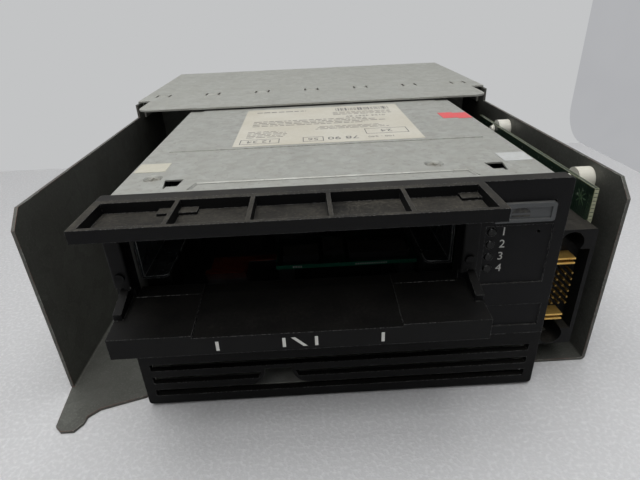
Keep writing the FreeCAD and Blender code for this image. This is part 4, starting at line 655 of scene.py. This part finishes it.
# rating label print, read from the rear: broken lines as small print, a bar code, boxes and plain numbers
labelPrint = {
    "z": 85.2, "ink": 0.02, "word": (1.2, 4.2), "space": (0.5, 1.0),
    # each block's rows go from (start, step) in mm; vary is the random range added to a row's length
    "blocks": (
        {"rows": 5, "x": (-35.0, 0.0), "y": (70.0, 2.4), "long": (0.0, 0.0), "vary": (14, 19), "tall": 0.7},
        {"rows": 3, "x": (-4.0, 1.0), "y": (80.0, 2.2), "long": (34.0, -3.0), "tall": 0.7},
        {"rows": 4, "x": (-34.0, 0.0), "y": (90.0, 3.0), "long": (60.0, 0.0), "vary": (-8, 8), "tall": 1.0},
        {"rows": 3, "x": (6.0, 0.0), "y": (108.0, 2.6), "long": (30.0, 0.0), "tall": 0.8},
        {"rows": 1, "x": (-34.0, 0.0), "y": (120.0, 0.0), "long": (26.0, 0.0), "tall": 1.4}),
    "code": {"x": (8.0, 36.0), "y": (117.0, 123.5), "bars": (0.35, 0.35, 0.7, 1.05), "gaps": (0.4, 0.8)},
    "boxes": ((-37.0, 60.0, 17.0, 7.0), (-10.0, 60.0, 9.0, 7.0), (18.0, 68.0, 19.0, 9.0)),  # x, y, wide, long
    "boxLine": 0.4,
}
random.seed(5)
z0, z1 = labelPrint["z"], labelPrint["z"] + labelPrint["ink"]
lines = []
for block in labelPrint["blocks"]:
    for k in range(block["rows"]):
        x, y, long = (start + step * k for start, step in (block["x"], block["y"], block["long"]))
        if "vary" in block:
            long += random.uniform(*block["vary"])
        end = x + long
        while x < end:
            word = random.uniform(*labelPrint["word"])
            lines.append((x, min(x + word, end), y, y + block["tall"], z0, z1))
            x += word + random.uniform(*labelPrint["space"])
code = labelPrint["code"]
x, end = code["x"]
while x < end:
    wide = random.choice(code["bars"])
    lines.append((x, x + wide, *code["y"], z0, z1))
    x += wide + random.choice(code["gaps"])
t = labelPrint["boxLine"]
for x, y, wide, long in labelPrint["boxes"]:
    lines += [(x, x + wide, y, y + t, z0, z1), (x, x + wide, y + long - t, y + long, z0, z1),
              (x, x + t, y + t, y + long - t, z0, z1), (x + wide - t, x + wide, y + t, y + long - t, z0, z1)]
addPiece("labelLines", "sled", inkGrey, *slabs(lines, drive))
fromRear = Matrix.Rotation(math.radians(180), 3, "Z")
labelNumbers = {"lift": 0.03, "thick": 0.01, "words": (  # text, size, x, y
    ("12 34", 5.0, -28.5, 63.5), ("56", 5.0, -5.5, 63.5), ("78 90", 6.0, 7.5, 63.8), ("24", 5.5, 27.5, 72.5),
    ("100 - 240", 3.0, 24.0, 63.0), ("0123 4567 89", 3.6, 22.0, 103.5))}
words = [written(text, size, drive(x, y, z0 + labelNumbers["lift"]), fromRear, labelNumbers["thick"])
         for text, size, x, y in labelNumbers["words"]]
addPiece("labelNumbers", "sled", inkGrey, *gather(words))
print("marks and print made")

# raised bridges between the slits of the rear cover: low domed strips
coverBridges = {"pitch": 31.6, "pairs": 7, "y": 32.0, "wide": 6.7, "long": 7.0, "high": 0.7, "sunk": 0.02,
                "steps": 6}
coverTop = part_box("rear_cover")[1].z / mm
steps = coverBridges["steps"]
halfWide, halfLong = coverBridges["wide"] / 2, coverBridges["long"] / 2
spread = [k / steps * 2 - 1 for k in range(steps + 1)]  # -1 to 1
points, faces = [], []
for pair in range(coverBridges["pairs"]):
    middle = (pair - (coverBridges["pairs"] - 1) / 2) * coverBridges["pitch"]
    n = len(points)
    for u in spread:
        for w in spread:
            rise = coverBridges["high"] * (1 - u ** 4) * (1 - abs(w) ** 3)
            points.append(sled(middle + u * halfWide, coverBridges["y"] + w * halfLong,
                               coverTop - coverBridges["sunk"] + rise))
    for i in range(steps):
        for j in range(steps):
            a = n + i * (steps + 1) + j
            faces.append((a, a + steps + 1, a + steps + 2, a + 1))
addPiece("coverBridges", "sled", coverZinc, points, faces, slot="zinc_cover")

# edges of the drive cover's pressed recess: a narrow sloping strip where the sheet turns down
recessEdge = {"half": 46.4, "lean": 1.6, "near": 10.9, "far": 17.2, "top": 84.78, "foot": 84.47, "wide": 0.45}
half, near, far = recessEdge["half"], recessEdge["near"], recessEdge["far"]
outer = half + recessEdge["lean"]
points, faces = [], []
for start, end in (((-half, far), (half, far)), ((-outer, near), (-half, far)), ((half, far), (outer, near))):
    n = len(points)
    across = Vector((end[1] - start[1], start[0] - end[0], 0)).normalized() * recessEdge["wide"]
    for x, y in (start, end):
        points += [drive(x, y, recessEdge["top"]), drive(x + across.x, y + across.y, recessEdge["foot"])]
    faces.append((n, n + 2, n + 3, n + 1))
addPiece("recessEdge", "sled", caseZinc, points, faces, slot="drive_case")

# bent flaps inside the two windows of the drive cover: a level leaf and an upright one under its rear end
windowFlaps = {"at": ((-54.8, 17.3), (57.2, 18.8)), "half": 2.6, "leafY": (-3.6, 0.6), "leafZ": (83.2, 83.6),
               "uprightY": (0.2, 0.6), "uprightZ": (80.4, 83.2)}
boxes = []
for x, y in windowFlaps["at"]:
    for part in ("leaf", "upright"):
        near, far = windowFlaps[part + "Y"]
        boxes.append((x - windowFlaps["half"], x + windowFlaps["half"], y + near, y + far,
                      *windowFlaps[part + "Z"]))
addPiece("windowFlaps", "sled", caseZinc, *slabs(boxes, drive), slot="drive_case")


def row(count, start, pitch, wide):
    # evenly spaced (from, to) pairs in mm
    return [(start + pitch * k, start + pitch * k + wide) for k in range(count)]


# interface board: a cross in the copper, printed ticks, pale marks on the front edge, small parts and vias
boardFace = 97.6
boardCross = {"y": -119.0, "z": 68.2, "arm": 3.4, "wide": 0.35, "thick": 0.05, "strokes": 4,
              "faces": [(0, 1, 3, 2), (4, 6, 7, 5), (0, 2, 6, 4), (1, 5, 7, 3), (0, 4, 5, 1), (2, 3, 7, 6)]}
arm, half = boardCross["arm"], boardCross["wide"] / 2
centre = Vector((boardFace, boardCross["y"], boardCross["z"]))
strokes = []
for k in range(boardCross["strokes"]):
    turn = Matrix.Rotation(math.pi / boardCross["strokes"] * k, 3, "X")
    corners = [centre + turn @ Vector((0, a, b)) for a in (-arm, arm) for b in (-half, half)]
    layers = [Vector((out, 0, 0)) for out in (-boardCross["thick"], 0.0)]
    stroke = [(corner + out) * mm for out in layers for corner in corners]
    strokes.append((stroke, boardCross["faces"]))
addPiece("boardCross", "sled", maskedCopper, *gather(strokes), slot="board_green")

boardTicks = {"count": 9, "start": -100.0, "pitch": 9.0, "wide": 3.0, "z": (69.0, 69.5), "thick": 0.04}
boxes = [(boardFace - boardTicks["thick"], boardFace, *y, *boardTicks["z"])
         for y in row(boardTicks["count"], boardTicks["start"], boardTicks["pitch"], boardTicks["wide"])]
addPiece("boardTicks", "sled", markWhite, *slabs(boxes, sled))

edgeMarks = {"x": (97.66, 99.14), "y": (-126.28, -126.2), "count": 43, "start": 9.6, "pitch": 1.5, "wide": 1.15}
boxes = [(*edgeMarks["x"], *edgeMarks["y"], *z)
         for z in row(edgeMarks["count"], edgeMarks["start"], edgeMarks["pitch"], edgeMarks["wide"])]
addPiece("boardFlank", "sled", boardFlank, *slabs(boxes, sled), slot="board_green")

smallParts = {"count": 46, "y": (-112, -12), "z": (46, 70), "thick": (0.6, 0.9),
              "sizes": ((1.0, 0.6), (1.6, 0.8), (2.4, 1.6), (0.8, 1.6))}
random.seed(11)
boxes = []
for k in range(smallParts["count"]):
    y, z = random.uniform(*smallParts["y"]), random.uniform(*smallParts["z"])
    long, tall = random.choice(smallParts["sizes"])
    boxes.append((boardFace - random.choice(smallParts["thick"]), boardFace, y, y + long, z, z + tall))
addPiece("boardSmallParts", "sled", chipEpoxy, *slabs(boxes, sled), slot="chip_black")

vias = {"thick": 0.03, "wide": 0.5, "y": (2, -125.6, 1.3), "z": (40, 12.0, 1.5)}  # count, start and pitch
boxes = [(boardFace - vias["thick"], boardFace, *y, *z)
         for y in row(*vias["y"], vias["wide"]) for z in row(*vias["z"], vias["wide"])]
addPiece("boardVias", "sled", maskedCopper, *slabs(boxes, sled), slot="board_green")

# sensor board print, and dark sensor blocks standing on it
sensorTicks = {"y": (21.14, 21.2), "rows": (  # count, start, pitch and width in x, then the z range
    (6, -16.2, 0.62, 0.35, (46.7, 47.5)), (14, 8.0, 0.9, 0.5, (46.8, 47.4)))}
boxes = [(*x, *sensorTicks["y"], *z) for count, start, pitch, wide, z in sensorTicks["rows"]
         for x in row(count, start, pitch, wide)]
addPiece("sensorTicks", "sled", markWhite, *slabs(boxes, drive))
sensorBlocks = ((-20.0, -6.0, 24.0, 33.0, 47.9, 50.4), (6.0, 29.0, 24.0, 34.0, 47.9, 50.2),
                (-4.0, 4.0, 28.0, 40.0, 47.9, 49.6))
addPiece("sensorBlocks", "sled", connectorBlack, *slabs(sensorBlocks, drive), slot="chip_black")

# contact rows in the two data ports at the rear, above and below the middle of each
portContacts = {"count": 34, "start": 31.4, "pitch": 1.25, "wide": 0.6, "y": (134.0, 138.4),
                "ports": (28.0, 58.0), "rows": (1.5, -1.58), "thick": 0.08}
boxes = []
for port in portContacts["ports"]:
    for x in row(portContacts["count"], portContacts["start"], portContacts["pitch"], portContacts["wide"]):
        for up in portContacts["rows"]:
            foot = port + up
            boxes.append((*x, *portContacts["y"], foot, foot + portContacts["thick"]))
addPiece("portContacts", "sled", contactGold, *slabs(boxes, sled), slot="contact_metal")
print("small pieces made")
